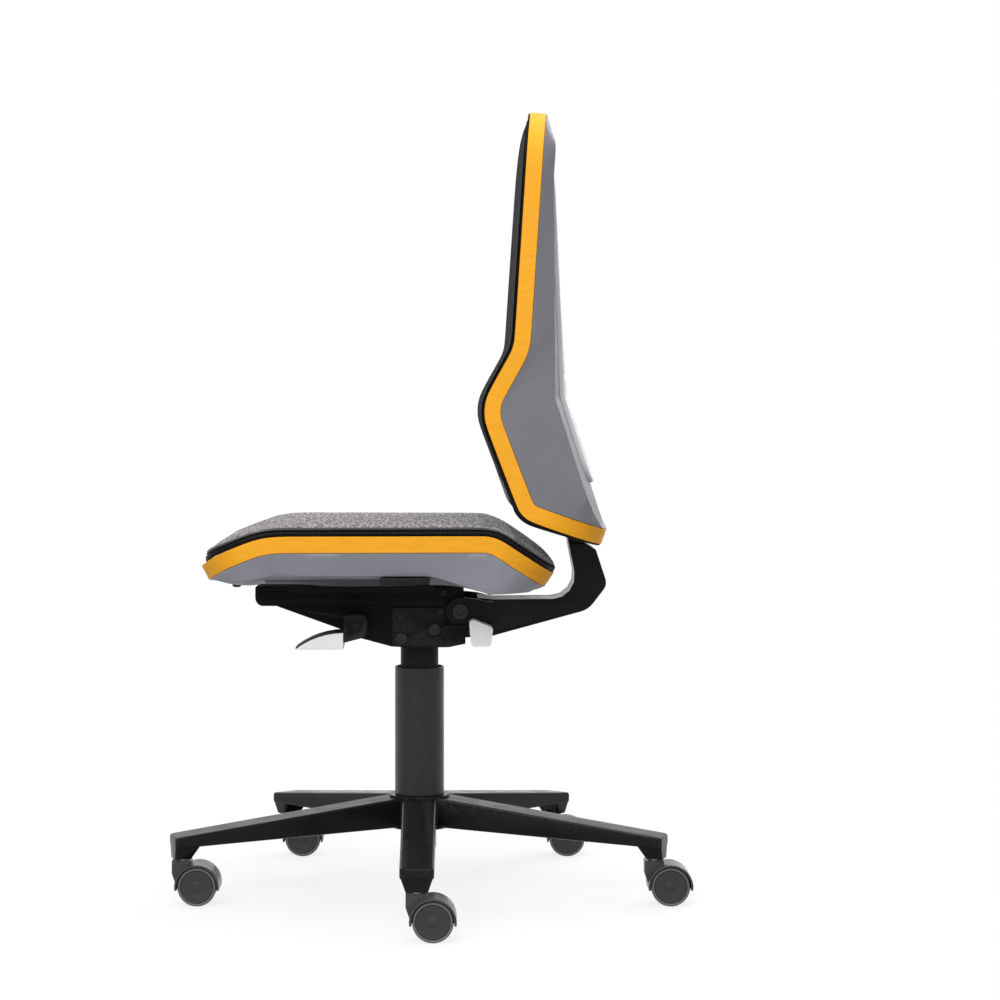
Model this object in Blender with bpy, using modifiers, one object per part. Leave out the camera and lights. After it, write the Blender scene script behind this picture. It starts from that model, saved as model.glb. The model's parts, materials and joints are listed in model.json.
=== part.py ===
"""Swivel laboratory chair: castor base, gas column, sliding seat and reclining backrest.

Metres, +Z up. The sitter faces -Y, and +X is the sitter's left hand side.
"""

import math

import bmesh
import bpy
from mathutils import Matrix, Vector

CHAIR = "laboratory_chair"

# Clearances
GAP = 0.0003
RUN_GAP = 0.0005
CUT_OVER = 0.01

# Castors
WHEEL_RADIUS = 0.025
WHEEL_WIDTH = 0.0165
WHEEL_EDGE = 0.003
WHEEL_STEPS = 20
FIN_HALF = 0.0045
AXLE_RADIUS = 0.003
AXLE_REACH = 0.0165
CASTOR_TRAIL = 0.0195
HOOD_CLEAR = 0.0012
HOOD_WALL = 0.0026
HOOD_HALF = 0.0235
HOOD_DROP_DEG = 8.0
AXLE_LOBE = 0.008
NECK_RISE = 0.0324
NECK_HALF = 0.0105
NECK_FRONT = 0.0135
NECK_BACK = 0.0115
STEM_RADIUS = 0.0055
STEM_IN_NECK = 0.0115
STEM_IN_LEG = 0.024
COLLAR_RADIUS = 0.0085
COLLAR_HEIGHT = 0.0014

# Five-arm base
LEG_COUNT = 5
CASTOR_CIRCLE = 0.320
LEG_OVERHANG = 0.0138
LEG_TIP_ROUND = 0.005
LEG_ROOT_DROP = 0.0015
LEG_TIP_WIDTH = 0.042
LEG_TIP_HEIGHT = 0.014
LEG_ROOT_SHARE = 0.95
LEG_ROOT_HEIGHT = 0.039
LEG_RISE = 0.039
LEG_EDGE = 0.0028
LEG_SHARP_ANGLE = math.radians(50)
BOSS_HEIGHT = 0.029
BOSS_HALF = 0.0138
BOSS_TOP_HALF = 0.0203
BOSS_BACK = 0.0088
BOSS_TOP_BACK = 0.0205
BOSS_ROUND = 0.004
BOSS_INSET = 0.0005
BOSS_SEAT = 0.0035
HUB_RADIUS = 0.0405
HUB_STEPS = 30
HUB_HEIGHT = 0.043

# Gas column
COLUMN_STEPS = 24
COVER_RADIUS = 0.0325
COVER_WALL = 0.002
COVER_LENGTH = 0.169
SLEEVE_RADIUS = 0.025
SLEEVE_WALL = 0.0015
SLEEVE_FLANGE = 0.003
SLEEVE_SHOWN = 0.030
LOWEST_DROP = 0.026
DROP_SPARE = 0.0015
STAND_RADIUS = 0.0225
STAND_WALL = 0.002
STAND_FLOOR = 0.004
STAND_BELOW_HUB = 0.028
STAND_SHORT = 0.003
BUSH_LENGTH = 0.080
CYLINDER_RADIUS = 0.014
CYLINDER_WALL = 0.0022
CYLINDER_CAP = 0.006
CYLINDER_HEAD = 0.012
CYLINDER_RISE = 0.039
ROD_RADIUS = 0.005
ROD_SHOULDER = 0.008
ROD_FOOT = 0.006
BEARING_HEIGHT = 0.006
BEARING_RADIUS = 0.015
CLIP_RADIUS = 0.009
CLIP_HEIGHT = 0.0015
LIFT_STROKE = 0.164
PISTON_HEIGHT = 0.010
VALVE_RADIUS = 0.003
VALVE_SHOWN = 0.0072
VALVE_LENGTH = 0.028

# Seat mechanism
HOUSING_HALF = 0.055
HOUSING_WALL = 0.004
HOUSING_HEIGHT = 0.0536
HOUSING_FRONT = -0.1855
HOUSING_REAR = 0.0607
HOUSING_THROAT_Y = -0.0947
HOUSING_THROAT_RISE = 0.0209
HOUSING_BELLY_Y = -0.0751
HOUSING_BELLY_RISE = 0.0115
HOUSING_SOLE_Y = -0.036
HOUSING_SOLE_RISE = 0.001
HOUSING_FLAT_Y = -0.018
HOUSING_HEEL = 0.022
HOUSING_HEEL_RISE = 0.0046
SOCKET_RADIUS = 0.020
SOCKET_HEIGHT = 0.034
SCREW_PLATE = 0.003
CARRIER_FRONT = -0.2145
CARRIER_REAR = 0.0585
CARRIER_HEIGHT = 0.0248
CARRIER_WALL = 0.004
CARRIER_NOSE = 0.011
RAIL_HALF = 0.066
RAIL_HEIGHT = 0.003
RAIL_FRONT = -0.200
RAIL_REAR = 0.030
BOLT_RADIUS = 0.004
BOLT_HEAD = 0.0075
BOLT_HEAD_HEIGHT = 0.0035
FRONT_BOLT_Y = -0.0232
REAR_BOLT_Y = 0.0206
BOLT_RISE = 0.0120
REAR_BOLT_RISE = 0.0235

# Levers and gas release
LEVER_Y = -0.080
LEVER_RISE = 0.0345
LEVER_RADIUS = 0.005
LEVER_INNER = 0.007
LEVER_OUTER = 0.128
FINGER_LENGTH = 0.024
FINGER_HALF = 0.005
FINGER_HEIGHT = 0.004
LEVER_HUB_INNER = 0.068
LEVER_HUB_HALF = 0.014
LEVER_HUB_ROUND = 0.008
LEVER_HUB_POINT = 0.0218
PADDLE_WIDTH = 0.046
PADDLE_TIP = 0.0777
PADDLE_ROOT = 0.0163
PADDLE_TOP_DROP = 0.0080
PADDLE_TIP_DROP = 0.0285
PADDLE_LOW_DROP = 0.0302
PADDLE_STEPS = 6
TONGUE_LENGTH = 0.022
TONGUE_WIDTH = 0.020
TONGUE_HEIGHT = 0.006
TONGUE_DROP = 0.018
ROCKER_PIVOT_Y = 0.040
ROCKER_FRONT = -0.062
ROCKER_HALF = 0.007
ROCKER_HEIGHT = 0.003
ROCKER_PIN = 0.003
TILT_LEVER_Y = 0.036
TILT_LEVER_RISE = 0.022
TILT_LEVER_INNER = -0.012
TILT_ARM_INNER = 0.0695
TILT_ARM = 0.0065
TILT_ARM_HALF = 0.008
TILT_ARM_REACH = 0.036
TILT_ARM_RISE = 0.0012
TILT_ARM_ROUND = 0.006
TILT_PADDLE_WIDTH = 0.028
TILT_PADDLE_NEAR = 0.0286
TILT_PADDLE_FAR = 0.0602
TILT_PADDLE_HEEL = 0.0030
TILT_PADDLE_TOP = 0.0206
TILT_PADDLE_FALL = 0.0129
TILT_PADDLE_LOW = 0.0164
TILT_PADDLE_ROUND = 0.005
TILT_STUD_BACK = 0.030
TILT_STUD_RADIUS = 0.0035
TILT_STUD_LENGTH = 0.014

# Recline
PIVOT_Y = 0.0541
PIVOT_RISE = 0.0475
PIVOT_RADIUS = 0.006
PIVOT_HEAD = 0.010
PIVOT_HEAD_HEIGHT = 0.004
CHEEK = 0.008
CHEEK_RADIUS = 0.019
WEB_BACK = 0.0225
WEB_DEPTH = 0.020
ROD_FROM_WALL = 0.021
PUSH_ROD_RADIUS = 0.004
PUSH_ROD_DROP = 0.0115
PUSH_ROD_FRONT = -0.076
SPRING_FRONT = -0.060
SPRING_REAR = 0.001
SPRING_RADIUS = 0.0102
SPRING_WIRE = 0.0018
SPRING_TURNS = 6
SPRING_TURN_POINTS = 9
SPRING_LUG = 0.004
COLLAR_THICKNESS = 0.003

# Back bracket
ARM_HALF = 0.036
NECK_PLATE_HALF = 0.030
NECK_PLATE = 0.013
NECK_LEAN_DEG = 18.0
NECK_FOOT_BACK = 0.140
NECK_FOOT_RISE = 0.0985
NECK_PLATE_LENGTH = 0.165
BRACKET_ROUND = 0.030
NECK_ROUND = 0.003
NECK_OUTER_START = 0.010
NECK_INNER_START = 0.006
ARM_FRONT_DROP = 0.0397
ARM_FRONT_RISE = 0.016
ARM_SOLE_BACK = 0.0285
ARM_SOLE_RISE = 0.0003
ARM_ELBOW_BACK = 0.0535
ARM_ELBOW_RISE = 0.033
ARM_CROOK_BACK = 0.0385
ARM_CROOK_RISE = 0.079
ARM_INNER_BACK = 0.0165
ARM_INNER_RISE = 0.0145
ARM_SHOULDER = 0.020
ARM_SHOULDER_RISE = 0.0135
WEB_DROP = 0.030
WEB_RISE = 0.0125
CHEEK_DROP = 0.0285
CHEEK_RISE = 0.011
NECK_SIDE_DROP = 0.012
NECK_SLOT_ROOM = 0.002
NECK_SLOT_DROP = 0.050
NECK_SLOT_RISE = 0.080

# Seat
SLIDE_PLATE = 0.0062
SLIDE_WALL = 0.004
SLIDE_LIP = 0.003
SLIDE_FRONT = -0.170
SLIDE_REAR = 0.02
SEAT_RISE = 0.0683
SEAT_FRONT_Y = -0.2735
SEAT_LIP_Y = -0.255
SEAT_FRONT_BEND_Y = -0.196
SEAT_REAR_BEND_Y = 0.0963
SEAT_REAR_Y = 0.169
SEAT_FRONT_DROP = 0.0395
SEAT_LIP_DROP = 0.0255
SEAT_REAR_DROP = 0.0485
SEAT_LIP_BEND = 0.05
SEAT_FRONT_BEND = 0.13
SEAT_REAR_BEND = 0.05
SEAT_FRONT_HALF = 0.232
SEAT_REAR_HALF = 0.214
SEAT_CORNER = 0.070
SEAT_FRONT_BOW = 0.012
SEAT_REAR_BOW = 0.008
SHELL_SIDE_INSET = 0.012
SHELL_BELLY_INSET = 0.045
SHELL_ARCH = 0.018
SHELL_NOSE_RISE = 0.0085
SHELL_FRONT_RISE = 0.012
SHELL_HEEL_DROP = 0.006
SHELL_REAR_DROP = 0.0035
SHELL_BELLY_DROP = 0.004
SHELL_NOSE_BACK = 0.0455
SHELL_ARCH_BACK = 0.0865
SHELL_ARCH_END = 0.150
SHELL_HEEL = 0.080
BAND_HEIGHT = 0.0205
BAND_THICKNESS = 0.0035
SHELL_WALL = 0.003
SEAT_PLATE_HEIGHT = 0.0065
SEAT_PAD_EDGE = 0.003
SEAT_PAD_CROWN = 0.0025
PAD_SHOULDER = 0.012
PAD_CROWN_INSET = 0.034
PAD_SHOULDER_RISE = 0.0018
PLATE_INSET = 0.0022
PAD_INSET = 0.0045
BUTTON_LENGTH = 0.060
BUTTON_HEIGHT = 0.0085
BUTTON_DEPTH = 0.040
BUTTON_Y = -0.0155
BUTTON_IN = 0.006
BUTTON_RISE = 0.0075

# Backrest
BACK_HEIGHT = 0.545
BACK_FOOT_DROP = 0.0065
BACK_HEEL_RISE = 0.0292
BACK_LUMBAR_RISE = 0.1669
BACK_WAIST_RISE = 0.2442
BACK_FOOT_Y = 0.2288
BACK_HEEL_Y = 0.1294
BACK_LUMBAR_Y = 0.0764
BACK_WAIST_Y = 0.1202
BACK_TOP_Y = 0.1396
BACK_HEEL_BEND = 0.035
BACK_LUMBAR_BEND = 0.06
BACK_LOW_HALF = 0.200
BACK_TOP_HALF = 0.184
BACK_CORNER = 0.070
BACK_TOP_BOW = 0.005
BACK_FOOT_BOW = 0.004
BACK_WRAP = 0.006
BACK_PLATE_HEIGHT = 0.0026
BACK_PAD_EDGE = 0.0018
BACK_PAD_CROWN = 0.0019
BACK_PAD_SPARE = 0.003
BACK_PAD_CORNER = 0.030
BACK_PAD_TOP = 0.010
REAR_SHORT = 0.0403
REAR_FOOT_RISE = 0.018
REAR_BEND_RISE = 0.182
REAR_BEND_Y = 0.1685
REAR_TOP_Y = 0.1766
REAR_FLARE_SHORT = 0.086
REAR_FLARE_Y = 0.1722
REAR_BEND = 0.03
REAR_INSET = 0.012
REAR_CORNER = 0.018
REAR_BULGE_LOW = 0.021
REAR_BULGE_TOP = -0.007
PANEL_HALF = 0.118
PANEL_CORNER = 0.030
PANEL_FOOT = 0.055
PANEL_TOP = 0.030
PANEL_HEIGHT = 0.0045
SLOT_COUNT = 9
SLOT_PITCH = 0.038
SLOT_HEIGHT = 0.007
SLOT_HALF = 0.092
CARRIAGE_LENGTH = 0.075
CARRIAGE_RISE = 0.020
CARRIAGE_WALL = 0.0045

# Heights that follow from the sizes above
AXLE_Z = WHEEL_RADIUS
NECK_TOP = AXLE_Z + NECK_RISE
BOSS_BOTTOM = NECK_TOP + COLLAR_HEIGHT + 2 * GAP
LEG_TIP_TOP = BOSS_BOTTOM + BOSS_HEIGHT
HUB_TOP = LEG_TIP_TOP + LEG_RISE
HUB_BOTTOM = HUB_TOP - HUB_HEIGHT
COVER_BOTTOM = HUB_TOP + GAP
COVER_TOP = COVER_BOTTOM + COVER_LENGTH
MECH_BOTTOM = COVER_TOP + SLEEVE_SHOWN
CARRIER_BOTTOM = MECH_BOTTOM + HOUSING_HEIGHT
CARRIER_TOP = CARRIER_BOTTOM + GAP + CARRIER_HEIGHT
SLIDE_TOP = CARRIER_TOP + RUN_GAP + SLIDE_PLATE
BELLY_Z = SLIDE_TOP + GAP
SEAT_Z = BELLY_Z + SEAT_RISE
PIVOT_Z = MECH_BOTTOM + PIVOT_RISE
NECK_FOOT_Y = PIVOT_Y + NECK_FOOT_BACK
NECK_FOOT_Z = PIVOT_Z + NECK_FOOT_RISE
NECK_LEAN = math.radians(NECK_LEAN_DEG)
NECK_UP = Vector((0, -math.sin(NECK_LEAN), math.cos(NECK_LEAN)))
NECK_OUT = Vector((0, math.cos(NECK_LEAN), math.sin(NECK_LEAN)))
LEG_TIP = CASTOR_CIRCLE + LEG_OVERHANG
LEG_ROOT_WIDTH = 2 * HUB_RADIUS * math.sin(math.pi / LEG_COUNT) * LEG_ROOT_SHARE
CYLINDER_TOP = MECH_BOTTOM + CYLINDER_RISE
VALVE_TOP = CYLINDER_TOP + VALVE_SHOWN
ROCKER_Z = VALVE_TOP + GAP
LEVER_Z = MECH_BOTTOM + LEVER_RISE
TILT_LEVER_Z = MECH_BOTTOM + TILT_LEVER_RISE
PUSH_ROD_Z = PIVOT_Z - PUSH_ROD_DROP
ROD_X = -HOUSING_HALF + ROD_FROM_WALL
WHEEL_SPACE = WHEEL_RADIUS + HOOD_CLEAR
HOOD_RADIUS = WHEEL_SPACE + HOOD_WALL
CHEEK_IN = HOUSING_HALF + RUN_GAP
CHEEK_OUT = CHEEK_IN + CHEEK

# The chair stands with the middle of its footprint on the origin
CASTOR_FRONT = max(CASTOR_TRAIL - HOOD_RADIUS, -NECK_FRONT, key=abs)
SIDE_STEM_Y = CASTOR_CIRCLE * math.sin(2 * math.pi / LEG_COUNT)
REAR_STEM_X = CASTOR_CIRCLE * math.cos(math.pi / LEG_COUNT)
COLUMN_X = (REAR_STEM_X - CASTOR_CIRCLE) / 2
COLUMN_Y = -(CASTOR_TRAIL + HOOD_RADIUS + CASTOR_FRONT) / 2

ARC_STEPS = 4
BEND_STEPS = 4
EDGE_STEPS = 2
SEAT_SIDE_POINTS = 12
BACK_SIDE_POINTS = 18
PANEL_SIDE_POINTS = 8
CAP_COLUMNS = 2 * EDGE_STEPS
SIDE_SPARE = 0.002


def remove_scene_objects():
    """Starts from an empty scene."""
    for old in list(bpy.data.objects):
        bpy.data.objects.remove(old, do_unlink=True)


def new_collection(name):
    """A collection linked to the scene."""
    made = bpy.data.collections.new(name)
    bpy.context.scene.collection.children.link(made)
    return made


def finish(name, colour, roughness, metallic=0.0):
    """A Principled material of one colour."""
    made = bpy.data.materials.new(name)
    made.use_nodes = True
    shader = made.node_tree.nodes["Principled BSDF"]
    shader.inputs["Base Color"].default_value = (*colour, 1.0)
    shader.inputs["Roughness"].default_value = roughness
    shader.inputs["Metallic"].default_value = metallic
    return made


remove_scene_objects()
PARTS = new_collection(CHAIR)
CUTTERS = new_collection("cutters")
BLACK = finish("black_plastic", (0.012, 0.012, 0.013), 0.5)
CASTOR_GREY = finish("castor_charcoal", (0.03, 0.03, 0.033), 0.45)
WHEEL_GREY = finish("wheel_grey", (0.09, 0.09, 0.095), 0.55)
STEEL = finish("bright_steel", (0.55, 0.55, 0.56), 0.3, 1.0)
DARK_METAL = finish("black_metal", (0.015, 0.015, 0.016), 0.4, 0.3)
SHELL_GREY = finish("shell_grey", (0.13, 0.145, 0.16), 0.5)
PANEL_GREY = finish("panel_light_grey", (0.55, 0.56, 0.57), 0.45)
ORANGE = finish("orange_band", (0.75, 0.11, 0.012), 0.55)
FABRIC = finish("charcoal_fabric", (0.035, 0.036, 0.04), 0.95)
LEVER_GREY = finish("lever_light_grey", (0.6, 0.61, 0.62), 0.45)


def pivot(name, place, parent):
    """An empty on a joint's axis, at a place given in the chair's frame."""
    made = bpy.data.objects.new(name, None)
    made.empty_display_size = 0.03
    PARTS.objects.link(made)
    made["place"] = tuple(place)
    made.parent = parent
    made.location = Vector(place) - (Vector(parent["place"]) if parent else Vector())
    return made


def smooth(mesh):
    """Smooth shading with sharp edges kept."""
    mesh.shade_smooth()
    mesh.set_sharp_from_angle(angle=math.radians(35))


def add_part(name, mesh, material, parent, place=(0, 0, 0)):
    """A named part, its mesh given in the chair's frame or about a place there."""
    made = bpy.data.objects.new(name, mesh)
    PARTS.objects.link(made)
    if not mesh.materials:
        mesh.materials.append(material)
    made.parent = parent
    made.location = Vector(place) - Vector(parent["place"])
    smooth(mesh)
    return made


def add_tool(name, mesh):
    """A hidden body that cuts or joins a part, on its own in the chair's frame."""
    made = bpy.data.objects.new(name, mesh)
    CUTTERS.objects.link(made)
    made.hide_render = True
    made.display_type = "WIRE"
    made.location = Vector((COLUMN_X, COLUMN_Y, 0))
    return made


def combine(part, tool_mesh, operation):
    """A Boolean on a part with a tool given in the chair's frame."""
    tool = add_tool(part.name + "_" + operation.lower(), tool_mesh)
    step = part.modifiers.new(tool.name, "BOOLEAN")
    step.operation = operation
    step.solver = "EXACT"
    step.object = tool


def mesh_from(name, build):
    """A mesh made by a function that fills a bmesh."""
    form = bmesh.new()
    build(form)
    bmesh.ops.recalc_face_normals(form, faces=form.faces)
    mesh = bpy.data.meshes.new(name)
    form.to_mesh(mesh)
    form.free()
    return mesh


def block(name, low, high):
    """A box between two corners."""
    low, high = Vector(low), Vector(high)

    def build(form):
        made = bmesh.ops.create_cube(form, size=1.0)
        bmesh.ops.scale(form, vec=high - low, verts=made["verts"])
        bmesh.ops.translate(form, vec=(low + high) / 2, verts=made["verts"])

    return mesh_from(name, build)


def rod(name, start, end, radius, end_radius=None, steps=16):
    """A round bar or cone between two points."""
    start, end = Vector(start), Vector(end)
    along = end - start
    turn = along.to_track_quat("Z", "Y").to_matrix().to_4x4()
    place = Matrix.Translation((start + end) / 2) @ turn

    def build(form):
        bmesh.ops.create_cone(
            form,
            cap_ends=True,
            segments=steps,
            radius1=radius,
            radius2=radius if end_radius is None else end_radius,
            depth=along.length,
            matrix=place,
        )

    return mesh_from(name, build)


def turned(name, profile, steps, closed):
    """A profile of (radius, height) points, outer side first from the top, turned round Z."""
    mesh = bpy.data.meshes.new(name)
    edges = [(i, i + 1) for i in range(len(profile) - 1)]
    if closed:
        edges.append((len(profile) - 1, 0))
    mesh.from_pydata([(r, 0, z) for r, z in profile], edges, [])
    maker = bpy.data.objects.new(name + "_profile", mesh)
    CUTTERS.objects.link(maker)
    screw = maker.modifiers.new("turn", "SCREW")
    screw.steps = steps
    screw.render_steps = steps
    screw.use_merge_vertices = True
    screw.merge_threshold = 0.00001
    made = evaluated_mesh(maker, name)
    form = bmesh.new()
    form.from_mesh(made)
    bmesh.ops.recalc_face_normals(form, faces=form.faces)
    form.to_mesh(made)
    form.free()
    return made


def evaluated_mesh(maker, name):
    """An object's finished mesh with its doubles merged, and the object removed."""
    bpy.context.view_layer.update()
    graph = bpy.context.evaluated_depsgraph_get()
    mesh = bpy.data.meshes.new_from_object(maker.evaluated_get(graph))
    mesh.name = name
    form = bmesh.new()
    form.from_mesh(mesh)
    bmesh.ops.remove_doubles(form, verts=form.verts, dist=0.000005)
    form.to_mesh(mesh)
    form.free()
    bpy.data.objects.remove(maker, do_unlink=True)
    return mesh


def plate(name, outline, low, high, axis):
    """A flat outline with thickness: axis X takes (y, z) points, axis Y takes (x, z) points."""
    curve = bpy.data.curves.new(name, "CURVE")
    curve.dimensions = "2D"
    curve.fill_mode = "BOTH"
    curve.extrude = (high - low) / 2
    spline = curve.splines.new("POLY")
    spline.points.add(len(outline) - 1)
    for point, (u, v) in zip(spline.points, outline):
        point.co = (u, v, 0, 1)
    spline.use_cyclic_u = True
    maker = bpy.data.objects.new(name, curve)
    CUTTERS.objects.link(maker)
    mesh = evaluated_mesh(maker, name)
    if axis == "X":
        turn = Matrix(((0, 0, 1), (1, 0, 0), (0, 1, 0))).to_4x4()
        lift = Vector(((low + high) / 2, 0, 0))
    else:
        turn = Matrix(((1, 0, 0), (0, 0, -1), (0, 1, 0))).to_4x4()
        lift = Vector((0, (low + high) / 2, 0))
    mesh.transform(Matrix.Translation(lift) @ turn)
    form = bmesh.new()
    form.from_mesh(mesh)
    bmesh.ops.recalc_face_normals(form, faces=form.faces)
    form.to_mesh(mesh)
    form.free()
    return mesh


def arc(centre, radius, first_deg, last_deg, steps):
    """Points along an arc in a plane."""
    turn = math.radians(last_deg - first_deg) / steps
    first = math.radians(first_deg)
    return [
        (centre[0] + radius * math.cos(first + turn * k), centre[1] + radius * math.sin(first + turn * k))
        for k in range(steps + 1)
    ]


def rounded(corners, closed=True, steps=ARC_STEPS):
    """Straight runs through corners (u, v, radius), each corner eased by an arc."""
    points = []
    for i, (u, v, radius) in enumerate(corners):
        corner = Vector((u, v))
        at_end = not closed and i in (0, len(corners) - 1)
        if at_end or radius == 0:
            points.append((u, v))
            continue
        back = Vector(corners[i - 1][:2]) - corner
        ahead = Vector(corners[(i + 1) % len(corners)][:2]) - corner
        half = back.angle(ahead) / 2
        reach = min(radius / math.tan(half), 0.49 * back.length, 0.49 * ahead.length)
        true_radius = reach * math.tan(half)
        middle = (back.normalized() + ahead.normalized()).normalized()
        centre = corner + middle * (true_radius / math.sin(half))
        start = corner + back.normalized() * reach - centre
        end = corner + ahead.normalized() * reach - centre
        first = math.atan2(start.y, start.x)
        sweep = (math.atan2(end.y, end.x) - first + math.pi) % (2 * math.pi) - math.pi
        points += arc(centre, true_radius, math.degrees(first), math.degrees(first + sweep), steps)
    return points


def moved_in(outline, distance):
    """A closed outline, running anticlockwise, with each side moved inwards."""
    count = len(outline)
    result = []
    for i in range(count):
        here = Vector(outline[i])
        before = (here - Vector(outline[i - 1])).normalized()
        after = (Vector(outline[(i + 1) % count]) - here).normalized()
        side_a = Vector((-before.y, before.x))
        side_b = Vector((-after.y, after.x))
        result.append(tuple(here + (side_a + side_b) * (distance / (1 + side_a.dot(side_b)))))
    return result


def height_at(line, y):
    """Height of a line of (y, z) points above a given y, level past its ends."""
    if y <= line[0][0]:
        return line[0][1]
    for (y0, z0), (y1, z1) in zip(line, line[1:]):
        if y <= y1:
            return z0 + (z1 - z0) * (y - y0) / (y1 - y0)
    return line[-1][1]


class Bend:
    """A bent line in the YZ plane, read by its length and carried on straight past its ends."""

    def __init__(self, corners):
        self.points = [Vector(p) for p in rounded(corners, closed=False, steps=BEND_STEPS)]
        runs = [(b - a) for a, b in zip(self.points, self.points[1:])]
        self.starts = [0.0]
        for run in runs:
            self.starts.append(self.starts[-1] + run.length)
        self.length = self.starts[-1]
        ways = [run.normalized() for run in runs]
        joined = [(a + b).normalized() for a, b in zip(ways, ways[1:])]
        self.ways = [ways[0], *joined, ways[-1]]

    def at(self, s):
        """Point, and direction square to the line on its left side."""
        i = 0
        while i < len(self.points) - 2 and s > self.starts[i + 1]:
            i += 1
        run = self.starts[i + 1] - self.starts[i]
        share = (s - self.starts[i]) / run
        point = self.points[i].lerp(self.points[i + 1], share)
        way = self.ways[i].lerp(self.ways[i + 1], min(max(share, 0.0), 1.0)).normalized()
        return point, Vector((-way.y, way.x))


class Sheet:
    """A rounded panel that is bent along one line and may be hollowed across its width."""

    def __init__(self, bend, outline, wrap=None, half=1.0):
        self.bend = bend
        self.outline = outline
        self.wrap = wrap
        self.half = half

    def place(self, x, s, t):
        """A point at x across, s along and t in front of the panel."""
        point, out = self.bend.at(s)
        spot = point + out * t
        push = self.wrap(s) * (1 - (x / self.half) ** 2) if self.wrap else 0.0
        return Vector((x, spot.x + push, spot.y))

    def ring(self, inset, t):
        """The panel's outline, moved inwards and set t in front."""
        return [(x, s, t) for x, s in moved_in(self.outline, inset)]


def side_places(bend, first, last, count):
    """Places along a panel's side: the bend's own corners, and more in the widest gaps."""
    places = [s for s in bend.starts if first + SIDE_SPARE < s < last - SIDE_SPARE]
    while len(places) < count:
        stops = [first, *places, last]
        widest = max(range(len(stops) - 1), key=lambda i: stops[i + 1] - stops[i])
        places.insert(widest, (stops[widest] + stops[widest + 1]) / 2)
    return places


def panel_outline(bend, halves, ends, corners, bows, count):
    """A rounded outline of (x, s) points, anticlockwise from the middle of its first edge."""
    (low_half, top_half), (first, last), (low_corner, top_corner) = halves, ends, corners
    low, top = (low_half, first, low_corner), (top_half, last, top_corner)
    arcs = rounded([(0, first, 0), low, top, (0, last, 0)], closed=False)
    lower, upper = arcs[1 : ARC_STEPS + 2], arcs[ARC_STEPS + 2 : -1]
    right = [(lower[0][0] * k / EDGE_STEPS, first) for k in range(EDGE_STEPS)]
    right += lower
    start, end = Vector(lower[-1]), Vector(upper[0])
    for place in side_places(bend, start.y, end.y, count):
        right.append(tuple(start.lerp(end, (place - start.y) / (end.y - start.y))))
    right += upper
    right += [(upper[-1][0] * (1 - k / EDGE_STEPS), last) for k in range(1, EDGE_STEPS + 1)]
    bowed = []
    for x, s in right:
        across = 1 - (x / max(low_half, top_half)) ** 2
        low_share = max(0.0, 1 - (s - first) / low_corner)
        top_share = max(0.0, 1 - (last - s) / top_corner)
        bowed.append((x, s + across * (bows[1] * top_share - bows[0] * low_share)))
    left = [(-x, s) for x, s in bowed[-2:0:-1]]
    return bowed + left


def lofted(name, rings, first_cap=None, last_cap=None):
    """Rings of points joined in order; open ends are closed by caps, or the last ring meets the first."""

    def build(form):
        loops = [[form.verts.new(p) for p in ring] for ring in rings]
        pairs = list(zip(loops, loops[1:]))
        if first_cap is None:
            pairs.append((loops[-1], loops[0]))
        for a, b in pairs:
            for i in range(len(a)):
                j = (i + 1) % len(a)
                form.faces.new((a[i], a[j], b[j], b[i]))
        if first_cap is not None:
            first_cap(form, loops[0])
            last_cap(form, loops[-1])
        bmesh.ops.triangulate(form, faces=form.faces)

    return mesh_from(name, build)


def ladder(points, place, lift=None, columns=1):
    """A cap for a mirrored ring of (x, s, t) points: rungs run straight across the panel."""
    half = len(points) // 2
    widest = max(abs(x) for x, s, t in points)

    def between(i, share):
        x0, s0, t0 = points[i]
        x = x0 * (1 - 2 * share)
        raised = 0.0
        if lift:
            across = 1 - (2 * share - 1) ** 2
            raised = lift * across * (abs(x0) / widest) ** 2
        return place(x, s0, t0 + raised)

    def cap(form, loop):
        rungs = [[loop[i] for i in range(EDGE_STEPS, -EDGE_STEPS - 1, -1)]]
        for i in range(EDGE_STEPS + 1, half - EDGE_STEPS):
            inner = [form.verts.new(between(i, k / columns)) for k in range(1, columns)]
            rungs.append([loop[i], *inner, loop[len(loop) - i]])
        rungs.append(loop[half - EDGE_STEPS : half + EDGE_STEPS + 1])
        for a, b in zip(rungs, rungs[1:]):
            if len(a) != len(b):
                form.faces.new([*a, *reversed(b)])
                continue
            for k in range(columns):
                form.faces.new((a[k], a[k + 1], b[k + 1], b[k]))

    return cap


def panel_solid(name, sheet, rims, lift=None, columns=1):
    """A closed panel from rims (inset, t), the first at its back and the last at its front."""
    rings = [sheet.ring(inset, t) for inset, t in rims]
    spots = [[sheet.place(*p) for p in ring] for ring in rings]
    back = ladder(rings[0], sheet.place, columns=columns)
    front = ladder(rings[-1], sheet.place, lift, columns)
    return lofted(name, spots, back, front)


def band_solid(name, sheet):
    """The flexible band round a panel's edge."""
    rims = [(0, 0), (0, -BAND_HEIGHT), (BAND_THICKNESS, -BAND_HEIGHT), (BAND_THICKNESS, 0)]
    return lofted(name, [[sheet.place(*p) for p in sheet.ring(inset, t)] for inset, t in rims])


RIM_INSET = BAND_THICKNESS + GAP
SHOULDER = -BAND_HEIGHT - GAP


def rim_rings(sheet):
    """The shell's upstand inside the band, and the shoulder under the band."""
    rims = [(PLATE_INSET / 4, SHOULDER), (RIM_INSET, SHOULDER), (RIM_INSET, -GAP)]
    rims.append((RIM_INSET + SHELL_WALL, -GAP))
    return [[sheet.place(*p) for p in sheet.ring(inset, t)] for inset, t in rims]


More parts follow.
